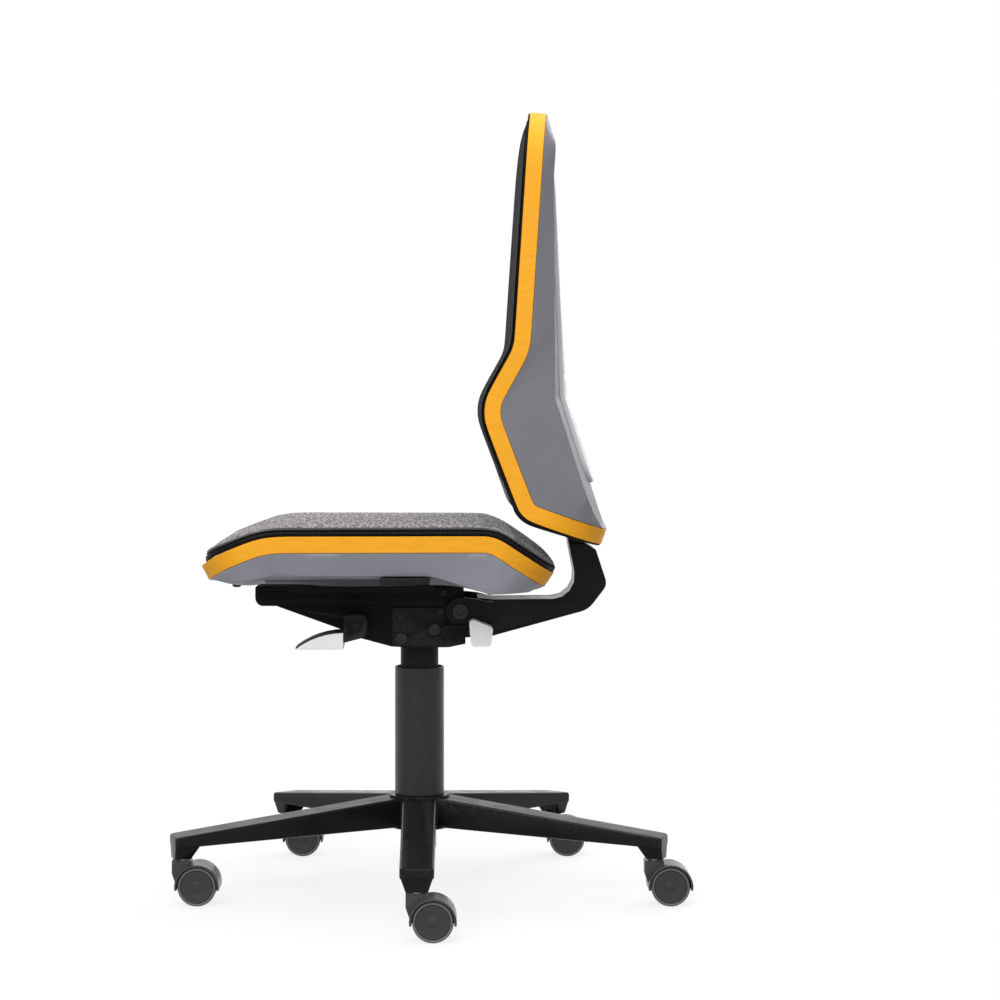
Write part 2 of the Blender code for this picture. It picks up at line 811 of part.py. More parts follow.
# Joint axes
ROOT = pivot("chair_root", (0, 0, 0), None)
ROOT.location = (COLUMN_X, COLUMN_Y, 0)
SWIVEL = pivot("seat_swivel", (0, 0, HUB_TOP), ROOT)
LIFT = pivot("seat_lift", (0, 0, MECH_BOTTOM), SWIVEL)
VALVE = pivot("valve_press", (0, 0, VALVE_TOP), LIFT)
LEVER = pivot("height_lever_turn", (0, LEVER_Y, LEVER_Z), LIFT)
ROCKER = pivot("rocker_turn", (0, ROCKER_PIVOT_Y, ROCKER_Z + ROCKER_HEIGHT / 2), LIFT)
TILT_LEVER = pivot("tilt_lever_turn", (0, TILT_LEVER_Y, TILT_LEVER_Z), LIFT)
PUSH = pivot("push_rod_slide", (ROD_X, 0, PUSH_ROD_Z), LIFT)
RECLINE = pivot("back_recline", (0, PIVOT_Y, PIVOT_Z), LIFT)
BACK = pivot("back_height", (0, NECK_FOOT_Y, NECK_FOOT_Z), RECLINE)
SEAT = pivot("seat_depth", (0, 0, CARRIER_TOP), LIFT)
BUTTON = pivot("depth_button_press", (SEAT_FRONT_HALF, BUTTON_Y, BELLY_Z), SEAT)


def hood_mesh():
    """Castor body about its stem axis: fin, hood over both wheels and neck for the stem."""
    axle = (CASTOR_TRAIL, AXLE_Z)
    outline = arc(axle, HOOD_RADIUS, -HOOD_DROP_DEG, 180 + HOOD_DROP_DEG, 16)
    outline += arc(axle, AXLE_LOBE, 210, 330, 4)
    hood = bpy.data.objects.new("hood", plate("hood", outline, -HOOD_HALF, HOOD_HALF, "X"))
    CUTTERS.objects.link(hood)
    neck = [
        (-NECK_FRONT, NECK_TOP),
        (-NECK_FRONT, AXLE_Z + NECK_RISE / 2),
        (CASTOR_TRAIL - HOOD_RADIUS + HOOD_WALL / 2, AXLE_Z),
        (0, AXLE_Z),
        (NECK_BACK, AXLE_Z + NECK_RISE / 2),
        (NECK_BACK, NECK_TOP),
    ]
    pieces = [("UNION", plate("neck", neck, -NECK_HALF, NECK_HALF, "X"))]
    for side in (-1, 1):
        near = (side * FIN_HALF, *axle)
        far = (side * (HOOD_HALF + CUT_OVER), *axle)
        pieces.append(("DIFFERENCE", rod("wheel_space", near, far, WHEEL_SPACE, steps=20)))
    socket = (0, 0, NECK_TOP - STEM_IN_NECK - GAP)
    pieces.append(("DIFFERENCE", rod("stem_bore", socket, (0, 0, NECK_TOP + CUT_OVER), STEM_RADIUS + GAP)))
    ends = [(side * HOOD_HALF, *axle) for side in (-1, 1)]
    pieces.append(("DIFFERENCE", rod("axle_bore", ends[0], ends[1], AXLE_RADIUS + GAP, steps=12)))
    tools = []
    for operation, mesh in pieces:
        tool = add_tool("hood_tool", mesh)
        tool.location = (0, 0, 0)
        step = hood.modifiers.new("step", "BOOLEAN")
        step.operation = operation
        step.object = tool
        tools.append(tool)
    made = evaluated_mesh(hood, "castor_hood")
    for tool in tools:
        bpy.data.objects.remove(tool, do_unlink=True)
    return made


def stem_mesh():
    """Steel stem with its collar, about its own axis."""
    bottom = NECK_TOP - STEM_IN_NECK
    top = BOSS_BOTTOM + STEM_IN_LEG
    low, high = NECK_TOP + GAP, NECK_TOP + GAP + COLLAR_HEIGHT
    profile = [(0, top), (STEM_RADIUS, top), (STEM_RADIUS, high), (COLLAR_RADIUS, high)]
    profile += [(COLLAR_RADIUS, low), (STEM_RADIUS, low), (STEM_RADIUS, bottom), (0, bottom)]
    return turned("castor_stem", profile, 12, closed=False)


def wheel_mesh(side):
    """One wheel about the stem axis, with a flat of its tread on the floor."""
    corner = WHEEL_RADIUS / math.cos(math.pi / WHEEL_STEPS)
    bore = AXLE_RADIUS + GAP
    inner, outer = FIN_HALF + GAP, FIN_HALF + GAP + WHEEL_WIDTH
    blind = AXLE_REACH + GAP
    profile = [(0, outer), (corner - WHEEL_EDGE, outer), (corner, outer - WHEEL_EDGE)]
    profile += [(corner, inner + WHEEL_EDGE), (corner - WHEEL_EDGE / 2, inner)]
    profile += [(bore, inner), (bore, blind), (0, blind)]
    made = turned("castor_wheel", profile, WHEEL_STEPS, closed=False)
    flat_down = Matrix.Rotation(math.pi / WHEEL_STEPS, 4, "Z")
    outwards = Matrix.Rotation(side * math.pi / 2, 4, "Y")
    made.transform(Matrix.Translation((0, CASTOR_TRAIL, AXLE_Z)) @ outwards @ flat_down)
    return made


def add_castors():
    """Five castors, all trailing to the rear."""
    axle_ends = [(side * AXLE_REACH, CASTOR_TRAIL, AXLE_Z) for side in (-1, 1)]
    meshes = {
        "hood": (hood_mesh(), CASTOR_GREY),
        "stem": (stem_mesh(), STEEL),
        "axle": (rod("castor_axle", *axle_ends, AXLE_RADIUS, steps=12), STEEL),
    }
    wheels = {"left": wheel_mesh(1), "right": wheel_mesh(-1)}
    for k in range(LEG_COUNT):
        turn = 2 * math.pi * k / LEG_COUNT
        stem = Vector((math.cos(turn), math.sin(turn), 0)) * CASTOR_CIRCLE
        name = f"castor_{k + 1}"
        swivel = pivot(name + "_swivel", stem, ROOT)
        for piece, (mesh, material) in meshes.items():
            add_part(f"{name}_{piece}", mesh, material, swivel, stem)
        for side, mesh in wheels.items():
            roll = pivot(f"{name}_{side}_roll", stem + Vector((0, CASTOR_TRAIL, AXLE_Z)), swivel)
            add_part(f"{name}_wheel_{side}", mesh, WHEEL_GREY, roll, stem)


def ease(form, edges, offset, segments):
    """Rounds some edges of a form."""
    bmesh.ops.bevel(
        form,
        geom=edges,
        offset=offset,
        segments=segments,
        profile=0.5,
        affect="EDGES",
        material=-1,
    )


def leg_mesh(turn):
    """One arm of the base, tapering from the hub to its tip."""
    root = HUB_RADIUS * 0.7

    def build(form):
        bmesh.ops.create_cube(form, size=1.0)
        for vert in form.verts:
            at_tip = vert.co.x > 0
            width = LEG_TIP_WIDTH if at_tip else LEG_ROOT_WIDTH
            top = LEG_TIP_TOP if at_tip else HUB_TOP - LEG_ROOT_DROP
            height = LEG_TIP_HEIGHT if at_tip else LEG_ROOT_HEIGHT
            lower = vert.co.z < 0
            vert.co = (LEG_TIP if at_tip else root, vert.co.y * width, top - height if lower else top)
        tip_edges = [e for e in form.edges if all(v.co.x > root for v in e.verts)]
        upright = [e for e in tip_edges if abs(e.verts[0].co.z - e.verts[1].co.z) > LEG_EDGE]
        ease(form, upright, LEG_TIP_ROUND, 3)
        sharp = [e for e in form.edges if e.calc_face_angle() > LEG_SHARP_ANGLE]
        ease(form, sharp, LEG_EDGE, 2)
        bmesh.ops.rotate(form, cent=(0, 0, 0), matrix=Matrix.Rotation(turn, 3, "Z"), verts=form.verts)

    return mesh_from("leg", build)


def boss_mesh(turn):
    """The castor socket under an arm's tip, level with its end and wider at the top."""
    ceiling = LEG_TIP_TOP - LEG_TIP_HEIGHT + BOSS_SEAT

    def build(form):
        bmesh.ops.create_cube(form, size=1.0)
        for vert in form.verts:
            upper = vert.co.z > 0
            half = BOSS_TOP_HALF if upper else BOSS_HALF
            back = CASTOR_CIRCLE - (BOSS_TOP_BACK if upper else BOSS_BACK)
            along = LEG_TIP - BOSS_INSET if vert.co.x > 0 else back
            vert.co = (along, math.copysign(half, vert.co.y), ceiling if upper else BOSS_BOTTOM)
        upright = [e for e in form.edges if abs(e.verts[0].co.z - e.verts[1].co.z) > LEG_EDGE]
        ease(form, upright, BOSS_ROUND, 3)
        bmesh.ops.rotate(form, cent=(0, 0, 0), matrix=Matrix.Rotation(turn, 3, "Z"), verts=form.verts)

    return mesh_from("boss", build)


def add_base():
    """Five-arm foot: hub, arms, castor bosses and the bores for column and stems."""
    hub = rod("star_base", (0, 0, HUB_BOTTOM), (0, 0, HUB_TOP), HUB_RADIUS, steps=HUB_STEPS)
    base = add_part("star_base", hub, DARK_METAL, ROOT)
    for k in range(LEG_COUNT):
        turn = 2 * math.pi * k / LEG_COUNT
        stem = Vector((math.cos(turn), math.sin(turn), 0)) * CASTOR_CIRCLE
        combine(base, leg_mesh(turn), "UNION")
        combine(base, boss_mesh(turn), "UNION")
        foot = stem + Vector((0, 0, BOSS_BOTTOM))
        bore_foot = foot - Vector((0, 0, CUT_OVER))
        bore_head = foot + Vector((0, 0, STEM_IN_LEG + GAP))
        combine(base, rod("stem_bore", bore_foot, bore_head, STEM_RADIUS + GAP), "DIFFERENCE")
    low, high = (0, 0, HUB_BOTTOM - CUT_OVER), (0, 0, HUB_TOP + CUT_OVER)
    combine(base, rod("column_bore", low, high, STAND_RADIUS + GAP, steps=COLUMN_STEPS), "DIFFERENCE")


def tube(name, radius, wall, low, high):
    """A plain tube round the column's axis."""
    profile = [(radius, high), (radius, low), (radius - wall, low), (radius - wall, high)]
    return turned(name, profile, COLUMN_STEPS, closed=True)


def add_column():
    """Dust tubes, stand tube, bush and gas spring, from the outside in."""
    stand_top = COVER_TOP - STAND_SHORT
    stand_low = HUB_BOTTOM - STAND_BELOW_HUB
    floor = stand_low + STAND_FLOOR
    add_part("column_cover_tube", tube("cover", COVER_RADIUS, COVER_WALL, COVER_BOTTOM, COVER_TOP), BLACK, ROOT)
    bore = ROD_RADIUS + GAP
    hollow = STAND_RADIUS - STAND_WALL
    stand = [(STAND_RADIUS, stand_top), (STAND_RADIUS, stand_low), (bore, stand_low)]
    stand += [(bore, floor), (hollow, floor), (hollow, stand_top)]
    add_part("stand_tube", turned("stand", stand, COLUMN_STEPS, closed=True), STEEL, ROOT)
    bush_wall = hollow - GAP - CYLINDER_RADIUS - GAP
    bush = tube("bush", hollow - GAP, bush_wall, stand_top - BUSH_LENGTH, stand_top)
    add_part("guide_bush", bush, BLACK, ROOT)
    bearing_low = floor + GAP
    bearing_top = bearing_low + BEARING_HEIGHT
    race = [(BEARING_RADIUS, bearing_top), (BEARING_RADIUS, bearing_low), (bore, bearing_low), (bore, bearing_top)]
    add_part("thrust_bearing", turned("bearing", race, 20, closed=True), STEEL, ROOT)
    add_gas_spring(stand_low, bearing_top)
    sleeve_top = MECH_BOTTOM - GAP
    sleeve_low = COVER_BOTTOM + LOWEST_DROP + DROP_SPARE
    flange = sleeve_top - SLEEVE_FLANGE
    eye = CYLINDER_RADIUS + GAP
    inside = SLEEVE_RADIUS - SLEEVE_WALL
    sleeve = [(SLEEVE_RADIUS, sleeve_top), (SLEEVE_RADIUS, sleeve_low), (inside, sleeve_low)]
    sleeve += [(inside, flange), (eye, flange), (eye, sleeve_top)]
    add_part("column_sleeve", turned("sleeve", sleeve, COLUMN_STEPS, closed=True), BLACK, LIFT)


def add_gas_spring(stand_low, bearing_top):
    """Piston rod on its bearing, clip under the stand tube, pressure tube and release pin."""
    shoulder_low = bearing_top + GAP
    shoulder_top = shoulder_low + ROD_FOOT / 2
    cylinder_low = shoulder_top + LOWEST_DROP + DROP_SPARE
    piston_low = cylinder_low + CYLINDER_CAP + LIFT_STROKE - LOWEST_DROP + DROP_SPARE
    piston_top = piston_low + PISTON_HEIGHT
    inside = CYLINDER_RADIUS - CYLINDER_WALL
    foot = stand_low - GAP - CLIP_HEIGHT - ROD_FOOT / 2
    shaft = [(0, piston_top), (inside - GAP, piston_top), (inside - GAP, piston_low), (ROD_RADIUS, piston_low)]
    shaft += [(ROD_RADIUS, shoulder_top), (ROD_SHOULDER, shoulder_top), (ROD_SHOULDER, shoulder_low)]
    shaft += [(ROD_RADIUS, shoulder_low), (ROD_RADIUS, foot), (0, foot)]
    add_part("piston_rod", turned("rod", shaft, 16, closed=False), STEEL, SWIVEL)
    clip_top = stand_low - GAP
    clip_low = clip_top - CLIP_HEIGHT
    bore = ROD_RADIUS + GAP
    clip = [(CLIP_RADIUS, clip_top), (CLIP_RADIUS, clip_low), (bore, clip_low), (bore, clip_top)]
    add_part("rod_clip", turned("clip", clip, 16, closed=True), STEEL, SWIVEL)
    eye = VALVE_RADIUS + GAP
    cap, head = cylinder_low + CYLINDER_CAP, CYLINDER_TOP - CYLINDER_HEAD
    gas = [(CYLINDER_RADIUS, CYLINDER_TOP), (CYLINDER_RADIUS, cylinder_low), (bore, cylinder_low)]
    gas += [(bore, cap), (inside, cap), (inside, head), (eye, head), (eye, CYLINDER_TOP)]
    add_part("gas_cylinder", turned("cylinder", gas, COLUMN_STEPS, closed=True), STEEL, LIFT)
    pin = rod("valve_pin", (0, 0, VALVE_TOP - VALVE_LENGTH), (0, 0, VALVE_TOP), VALVE_RADIUS, steps=12)
    add_part("gas_valve_pin", pin, STEEL, VALVE)


def housing_outline():
    """Side view of the mechanism housing, anticlockwise from its front tip."""
    top = CARRIER_BOTTOM
    low = MECH_BOTTOM
    return [
        (HOUSING_FRONT, top),
        (HOUSING_THROAT_Y, low + HOUSING_THROAT_RISE),
        (HOUSING_BELLY_Y, low + HOUSING_BELLY_RISE),
        (HOUSING_SOLE_Y, low + HOUSING_SOLE_RISE),
        (HOUSING_FLAT_Y, low),
        (HOUSING_REAR - HOUSING_HEEL, low),
        (HOUSING_REAR, low + HOUSING_HEEL_RISE),
        (HOUSING_REAR, top),
    ]


def add_housing():
    """Closed pan under the carrier with the gas socket, spring lug and bores for its shafts."""
    outline = housing_outline()
    housing = add_part("mechanism_housing", plate("housing", outline, -HOUSING_HALF, HOUSING_HALF, "X"), BLACK, LIFT)
    inner = moved_in(outline, HOUSING_WALL)
    lid = CARRIER_BOTTOM + CUT_OVER
    pocket = [(y, lid if z > CARRIER_BOTTOM - 2 * HOUSING_WALL else z) for y, z in inner]
    deep = HOUSING_HALF - HOUSING_WALL
    combine(housing, plate("pocket", pocket, -deep, deep, "X"), "DIFFERENCE")
    socket_top = MECH_BOTTOM + SOCKET_HEIGHT
    floor = (0, 0, MECH_BOTTOM + HOUSING_WALL / 2)
    combine(housing, rod("socket", floor, (0, 0, socket_top), SOCKET_RADIUS, steps=COLUMN_STEPS), "UNION")
    below, above = (0, 0, MECH_BOTTOM - CUT_OVER), (0, 0, socket_top + CUT_OVER)
    combine(housing, rod("gas_bore", below, above, CYLINDER_RADIUS + GAP, steps=COLUMN_STEPS), "DIFFERENCE")
    lug_low = (-deep - HOUSING_WALL / 2, SPRING_FRONT - GAP - SPRING_LUG, LEVER_Z - LEVER_RISE / 2)
    lug_high = (ROD_X + SPRING_RADIUS + SPRING_WIRE, SPRING_FRONT - GAP, CARRIER_BOTTOM - HOUSING_WALL)
    combine(housing, block("spring_lug", lug_low, lug_high), "UNION")
    for side in (-1, 1):
        cheek_y = (FRONT_BOLT_Y - BOLT_HEAD - HOUSING_WALL, PIVOT_Y - CHEEK_RADIUS - HOUSING_WALL)
        near, far = side * (HOUSING_HALF - HOUSING_WALL / 2), side * (HOUSING_HALF + SCREW_PLATE)
        low = (min(near, far), cheek_y[0], MECH_BOTTOM + HOUSING_WALL / 2)
        high = (max(near, far), cheek_y[1], CARRIER_BOTTOM - HOUSING_WALL / 2)
        combine(housing, block("screw_plate", low, high), "UNION")
    out = HOUSING_HALF + CUT_OVER
    for y, z, radius, start, end in housing_bores(out):
        combine(housing, rod("bore", (start, y, z), (end, y, z), radius, steps=16), "DIFFERENCE")
    push = PUSH_ROD_RADIUS + RUN_GAP
    rear, front = (ROD_X, HOUSING_REAR + CUT_OVER, PUSH_ROD_Z), (ROD_X, PUSH_ROD_FRONT, PUSH_ROD_Z)
    combine(housing, rod("push_bore", front, rear, push, steps=12), "DIFFERENCE")


def housing_bores(out):
    """Cross bores through the housing: y, z, radius and both ends along X."""
    return [
        (PIVOT_Y, PIVOT_Z, PIVOT_RADIUS + GAP, -out, out),
        (FRONT_BOLT_Y, MECH_BOTTOM + BOLT_RISE, BOLT_RADIUS + GAP, -out, out),
        (REAR_BOLT_Y, MECH_BOTTOM + REAR_BOLT_RISE, BOLT_RADIUS + GAP, -out, out),
        (ROCKER_PIVOT_Y, ROCKER_Z + ROCKER_HEIGHT / 2, ROCKER_PIN + GAP, -out, out),
        (LEVER_Y, LEVER_Z, LEVER_RADIUS + GAP, 0, out),
        (TILT_LEVER_Y, TILT_LEVER_Z, LEVER_RADIUS + GAP, 0, out),
    ]


def add_carrier():
    """Beam under the seat, open below, with a rail along each side and a closed nose."""
    half = HOUSING_HALF - RUN_GAP
    low, top = CARRIER_BOTTOM + GAP, CARRIER_TOP
    inside = half - CARRIER_WALL
    roof = top - RAIL_HEIGHT
    section = [(half, low), (half, top), (-half, top), (-half, low), (-inside, low), (-inside, roof)]
    section += [(inside, roof), (inside, low)]
    beam = add_part("seat_carrier", plate("carrier", section, CARRIER_FRONT, CARRIER_REAR, "Y"), BLACK, LIFT)
    nose_low = (-half + RUN_GAP, CARRIER_FRONT, low)
    nose_high = (half - RUN_GAP, CARRIER_FRONT + CARRIER_WALL, top - RUN_GAP)
    combine(beam, block("nose", nose_low, nose_high), "UNION")
    for side in (-1, 1):
        rail_low = (min(side * RAIL_HALF, side * inside), RAIL_FRONT, roof)
        rail_high = (max(side * RAIL_HALF, side * inside), RAIL_REAR, top)
        combine(beam, block("rail", rail_low, rail_high), "UNION")
    far = CARRIER_REAR + CUT_OVER
    corners = [(CARRIER_FRONT, low, CARRIER_NOSE), (far, low - CUT_OVER, 0), (far, top + CUT_OVER, 0)]
    side_view = rounded([*corners, (CARRIER_FRONT, top + CUT_OVER, 0)])
    combine(beam, plate("side_view", side_view, -RAIL_HALF - CUT_OVER, RAIL_HALF + CUT_OVER, "X"), "INTERSECT")


def add_bolt(name, y, z):
    """A through bolt with a head on each side of the housing."""
    face = HOUSING_HALF + SCREW_PLATE + GAP
    end = face + BOLT_HEAD_HEIGHT
    profile = [(0, end), (BOLT_HEAD, end), (BOLT_HEAD, face), (BOLT_RADIUS, face), (BOLT_RADIUS, -face)]
    profile += [(BOLT_HEAD, -face), (BOLT_HEAD, -end), (0, -end)]
    mesh = turned(name, profile, 12, closed=False)
    mesh.transform(Matrix.Translation((0, y, z)) @ Matrix.Rotation(math.pi / 2, 4, "Y"))
    add_part(name, mesh, STEEL, LIFT)


def add_pivot_pin():
    """The pin that the back bracket turns on, with a head outside each cheek."""
    face = CHEEK_OUT + RUN_GAP
    end = face + PIVOT_HEAD_HEIGHT
    profile = [(0, end), (PIVOT_HEAD, end), (PIVOT_HEAD, face), (PIVOT_RADIUS, face), (PIVOT_RADIUS, -face)]
    profile += [(PIVOT_HEAD, -face), (PIVOT_HEAD, -end), (0, -end)]
    mesh = turned("pin", profile, 16, closed=False)
    mesh.transform(Matrix.Translation((0, PIVOT_Y, PIVOT_Z)) @ Matrix.Rotation(math.pi / 2, 4, "Y"))
    add_part("backrest_pivot_pin", mesh, STEEL, LIFT)


def add_release():
    """Height lever with its finger, and the rocker that it presses onto the valve pin."""
    shaft = rod("shaft", (-LEVER_INNER, LEVER_Y, LEVER_Z), (LEVER_OUTER, LEVER_Y, LEVER_Z), LEVER_RADIUS, steps=14)
    lever = add_part("height_lever_shaft", shaft, BLACK, LEVER)
    finger_low = ROCKER_Z + ROCKER_HEIGHT + GAP
    finger_top = finger_low + FINGER_HEIGHT
    reach = LEVER_Y + FINGER_LENGTH
    finger = [(LEVER_Y - LEVER_RADIUS / 2, LEVER_Z), (LEVER_Y + LEVER_RADIUS / 2, LEVER_Z)]
    finger += [(LEVER_Y + LEVER_RADIUS, finger_low), (reach, finger_low), (reach, finger_top)]
    finger += [(LEVER_Y - LEVER_RADIUS / 2, finger_top)]
    combine(lever, plate("finger", finger, -FINGER_HALF, FINGER_HALF, "X"), "UNION")
    add_lever_paddle(lever)
    low, top = ROCKER_Z, ROCKER_Z + ROCKER_HEIGHT
    rear = ROCKER_PIVOT_Y + ROCKER_PIN + ROCKER_HEIGHT / 2
    bar = block("rocker", (-ROCKER_HALF, ROCKER_FRONT, low), (ROCKER_HALF, rear, top))
    rocker = add_part("release_rocker", bar, STEEL, ROCKER)
    middle = (low + top) / 2
    ends = [(side * (HOUSING_HALF - GAP), ROCKER_PIVOT_Y, middle) for side in (-1, 1)]
    combine(rocker, rod("trunnion", *ends, ROCKER_PIN, steps=12), "UNION")


def add_lever_paddle(lever):
    """Hub at the shaft's outer end with a tongue, and the leaf-shaped paddle pushed onto the tongue."""
    half, edge = LEVER_HUB_HALF, LEVER_HUB_ROUND
    rear, front = LEVER_Y + half, LEVER_Y - PADDLE_ROOT + RUN_GAP
    corners = [(front, LEVER_Z - LEVER_HUB_POINT, 0), (rear, LEVER_Z - half, edge)]
    corners += [(rear, LEVER_Z + half, edge), (front, LEVER_Z + half, edge)]
    outer = LEVER_OUTER - RUN_GAP
    combine(lever, plate("hub", rounded(corners), LEVER_HUB_INNER, outer, "X"), "UNION")
    reach, drop = PADDLE_TIP - PADDLE_ROOT, PADDLE_TIP_DROP - PADDLE_TOP_DROP
    radius = (reach ** 2 + drop ** 2) / (2 * drop)
    root, top, low = LEVER_Y - PADDLE_ROOT, LEVER_Z - PADDLE_TOP_DROP, LEVER_Z - PADDLE_LOW_DROP
    sweep = math.degrees(math.asin(reach / radius))
    leaf = arc((root, top - radius), radius, 90, 90 + sweep, PADDLE_STEPS)
    leaf += [(LEVER_Y - PADDLE_TIP, low), (root, low)]
    paddle = plate("paddle", leaf, outer - PADDLE_WIDTH, outer, "X")
    grip = add_part("height_lever_paddle", paddle, LEVER_GREY, LEVER)
    middle = outer - PADDLE_WIDTH / 2
    tongue_low = Vector((middle - TONGUE_WIDTH / 2, root - TONGUE_LENGTH, LEVER_Z - TONGUE_DROP))
    tongue_high = Vector((middle + TONGUE_WIDTH / 2, LEVER_Y, LEVER_Z - TONGUE_DROP + TONGUE_HEIGHT))
    room = Vector((GAP, GAP, GAP))
    combine(grip, block("slot", tongue_low - room, tongue_high + room), "DIFFERENCE")
    combine(lever, block("tongue", tongue_low, tongue_high), "UNION")


def add_tilt_lever():
    """Rear lever: shaft in the housing, a flat arm outside the bracket's cheek and a rounded paddle on it."""
    face = TILT_ARM_INNER + TILT_ARM
    ends = [(x, TILT_LEVER_Y, TILT_LEVER_Z) for x in (TILT_LEVER_INNER, face - RUN_GAP)]
    lever = add_part("tilt_lever_shaft", rod("shaft", *ends, LEVER_RADIUS, steps=14), BLACK, TILT_LEVER)
    half, edge = TILT_ARM_HALF, TILT_ARM_ROUND
    near, far = TILT_LEVER_Y - half, TILT_LEVER_Y + TILT_ARM_REACH
    end_z = TILT_LEVER_Z + TILT_ARM_RISE
    corners = [(near, TILT_LEVER_Z - half, edge), (far, end_z - half, edge)]
    corners += [(far, end_z + half, edge), (near, TILT_LEVER_Z + half, edge)]
    combine(lever, plate("arm", rounded(corners), TILT_ARM_INNER, face, "X"), "UNION")
    spot_y, spot_z = TILT_LEVER_Y + TILT_STUD_BACK, TILT_LEVER_Z
    stud_end = face + TILT_STUD_LENGTH
    stud = [(face - TILT_ARM / 2, spot_y, spot_z), (stud_end, spot_y, spot_z)]
    combine(lever, rod("stud", *stud, TILT_STUD_RADIUS, steps=12), "UNION")
    near, far = TILT_LEVER_Y + TILT_PADDLE_NEAR, TILT_LEVER_Y + TILT_PADDLE_FAR
    low, top, edge = TILT_LEVER_Z - TILT_PADDLE_LOW, TILT_LEVER_Z + TILT_PADDLE_TOP, TILT_PADDLE_ROUND
    corners = [(near + TILT_PADDLE_HEEL, low, edge), (far - TILT_PADDLE_HEEL, low, edge)]
    corners += [(far, top - TILT_PADDLE_FALL, edge), (near, top, edge)]
    wing = plate("wing", rounded(corners), face + GAP, face + GAP + TILT_PADDLE_WIDTH, "X")
    grip = add_part("tilt_lever_paddle", wing, LEVER_GREY, TILT_LEVER)
    hole = [(face, spot_y, spot_z), (stud_end + GAP, spot_y, spot_z)]
    combine(grip, rod("stud_hole", *hole, TILT_STUD_RADIUS + GAP, steps=12), "DIFFERENCE")


def add_recline_spring():
    """Coil spring round a push rod, which the bracket's web pushes forward as the back reclines."""
    web = PIVOT_Y + WEB_BACK - GAP
    shaft = [(ROD_X, PUSH_ROD_FRONT, PUSH_ROD_Z), (ROD_X, web, PUSH_ROD_Z)]
    push = add_part("tilt_push_rod", rod("push", *shaft, PUSH_ROD_RADIUS, steps=14), STEEL, PUSH)
    seat = SPRING_REAR + GAP
    collar = [(ROD_X, seat, PUSH_ROD_Z), (ROD_X, seat + COLLAR_THICKNESS, PUSH_ROD_Z)]
    combine(push, rod("collar", *collar, SPRING_RADIUS + SPRING_WIRE, steps=14), "UNION")
    coil = bpy.data.curves.new("tilt_spring", "CURVE")
    coil.dimensions = "3D"
    coil.bevel_depth = SPRING_WIRE
    coil.bevel_resolution = 1
    coil.use_fill_caps = True
    spline = coil.splines.new("POLY")
    count = SPRING_TURNS * SPRING_TURN_POINTS + 1
    spline.points.add(count - 1)
    start, end = SPRING_FRONT + SPRING_WIRE, SPRING_REAR - SPRING_WIRE
    for k, point in enumerate(spline.points):
        turn = 2 * math.pi * k / SPRING_TURN_POINTS
        y = start + (end - start) * k / (count - 1)
        x, z = SPRING_RADIUS * math.cos(turn), SPRING_RADIUS * math.sin(turn)
        point.co = (ROD_X + x, y, PUSH_ROD_Z + z, 1)
    maker = bpy.data.objects.new("tilt_spring_path", coil)
    CUTTERS.objects.link(maker)
    add_part("tilt_spring", evaluated_mesh(maker, "tilt_spring"), STEEL, LIFT)


def neck_point(up, out):
    """A point of the neck plate's side view, along and across the neck."""
    spot = Vector((0, NECK_FOOT_Y, NECK_FOOT_Z)) + NECK_UP * up + NECK_OUT * out
    return (spot.y, spot.z)


def bracket_outline():
    """Side view of the bracket's arm and neck, anticlockwise from the arm's lower front."""
    front = PIVOT_Y + WEB_BACK
    knee = BRACKET_ROUND
    return rounded(
        [
            (front, PIVOT_Z - ARM_FRONT_DROP, 0),
            (NECK_FOOT_Y + ARM_SOLE_BACK, PIVOT_Z + ARM_SOLE_RISE, knee),
            (NECK_FOOT_Y + ARM_ELBOW_BACK, PIVOT_Z + ARM_ELBOW_RISE, knee / 2),
            (NECK_FOOT_Y + ARM_CROOK_BACK, PIVOT_Z + ARM_CROOK_RISE, NECK_ROUND),
            (*neck_point(-NECK_OUTER_START, NECK_PLATE), NECK_ROUND),
            (*neck_point(NECK_PLATE_LENGTH, NECK_PLATE), NECK_ROUND),
            (*neck_point(NECK_PLATE_LENGTH, 0), NECK_ROUND),
            (*neck_point(-NECK_INNER_START, 0), knee),
            (NECK_FOOT_Y + ARM_INNER_BACK, PIVOT_Z + ARM_INNER_RISE, knee),
            (front + ARM_SHOULDER, PIVOT_Z + ARM_SHOULDER_RISE, knee),
            (front, PIVOT_Z + ARM_FRONT_RISE, 0),
        ]
    )


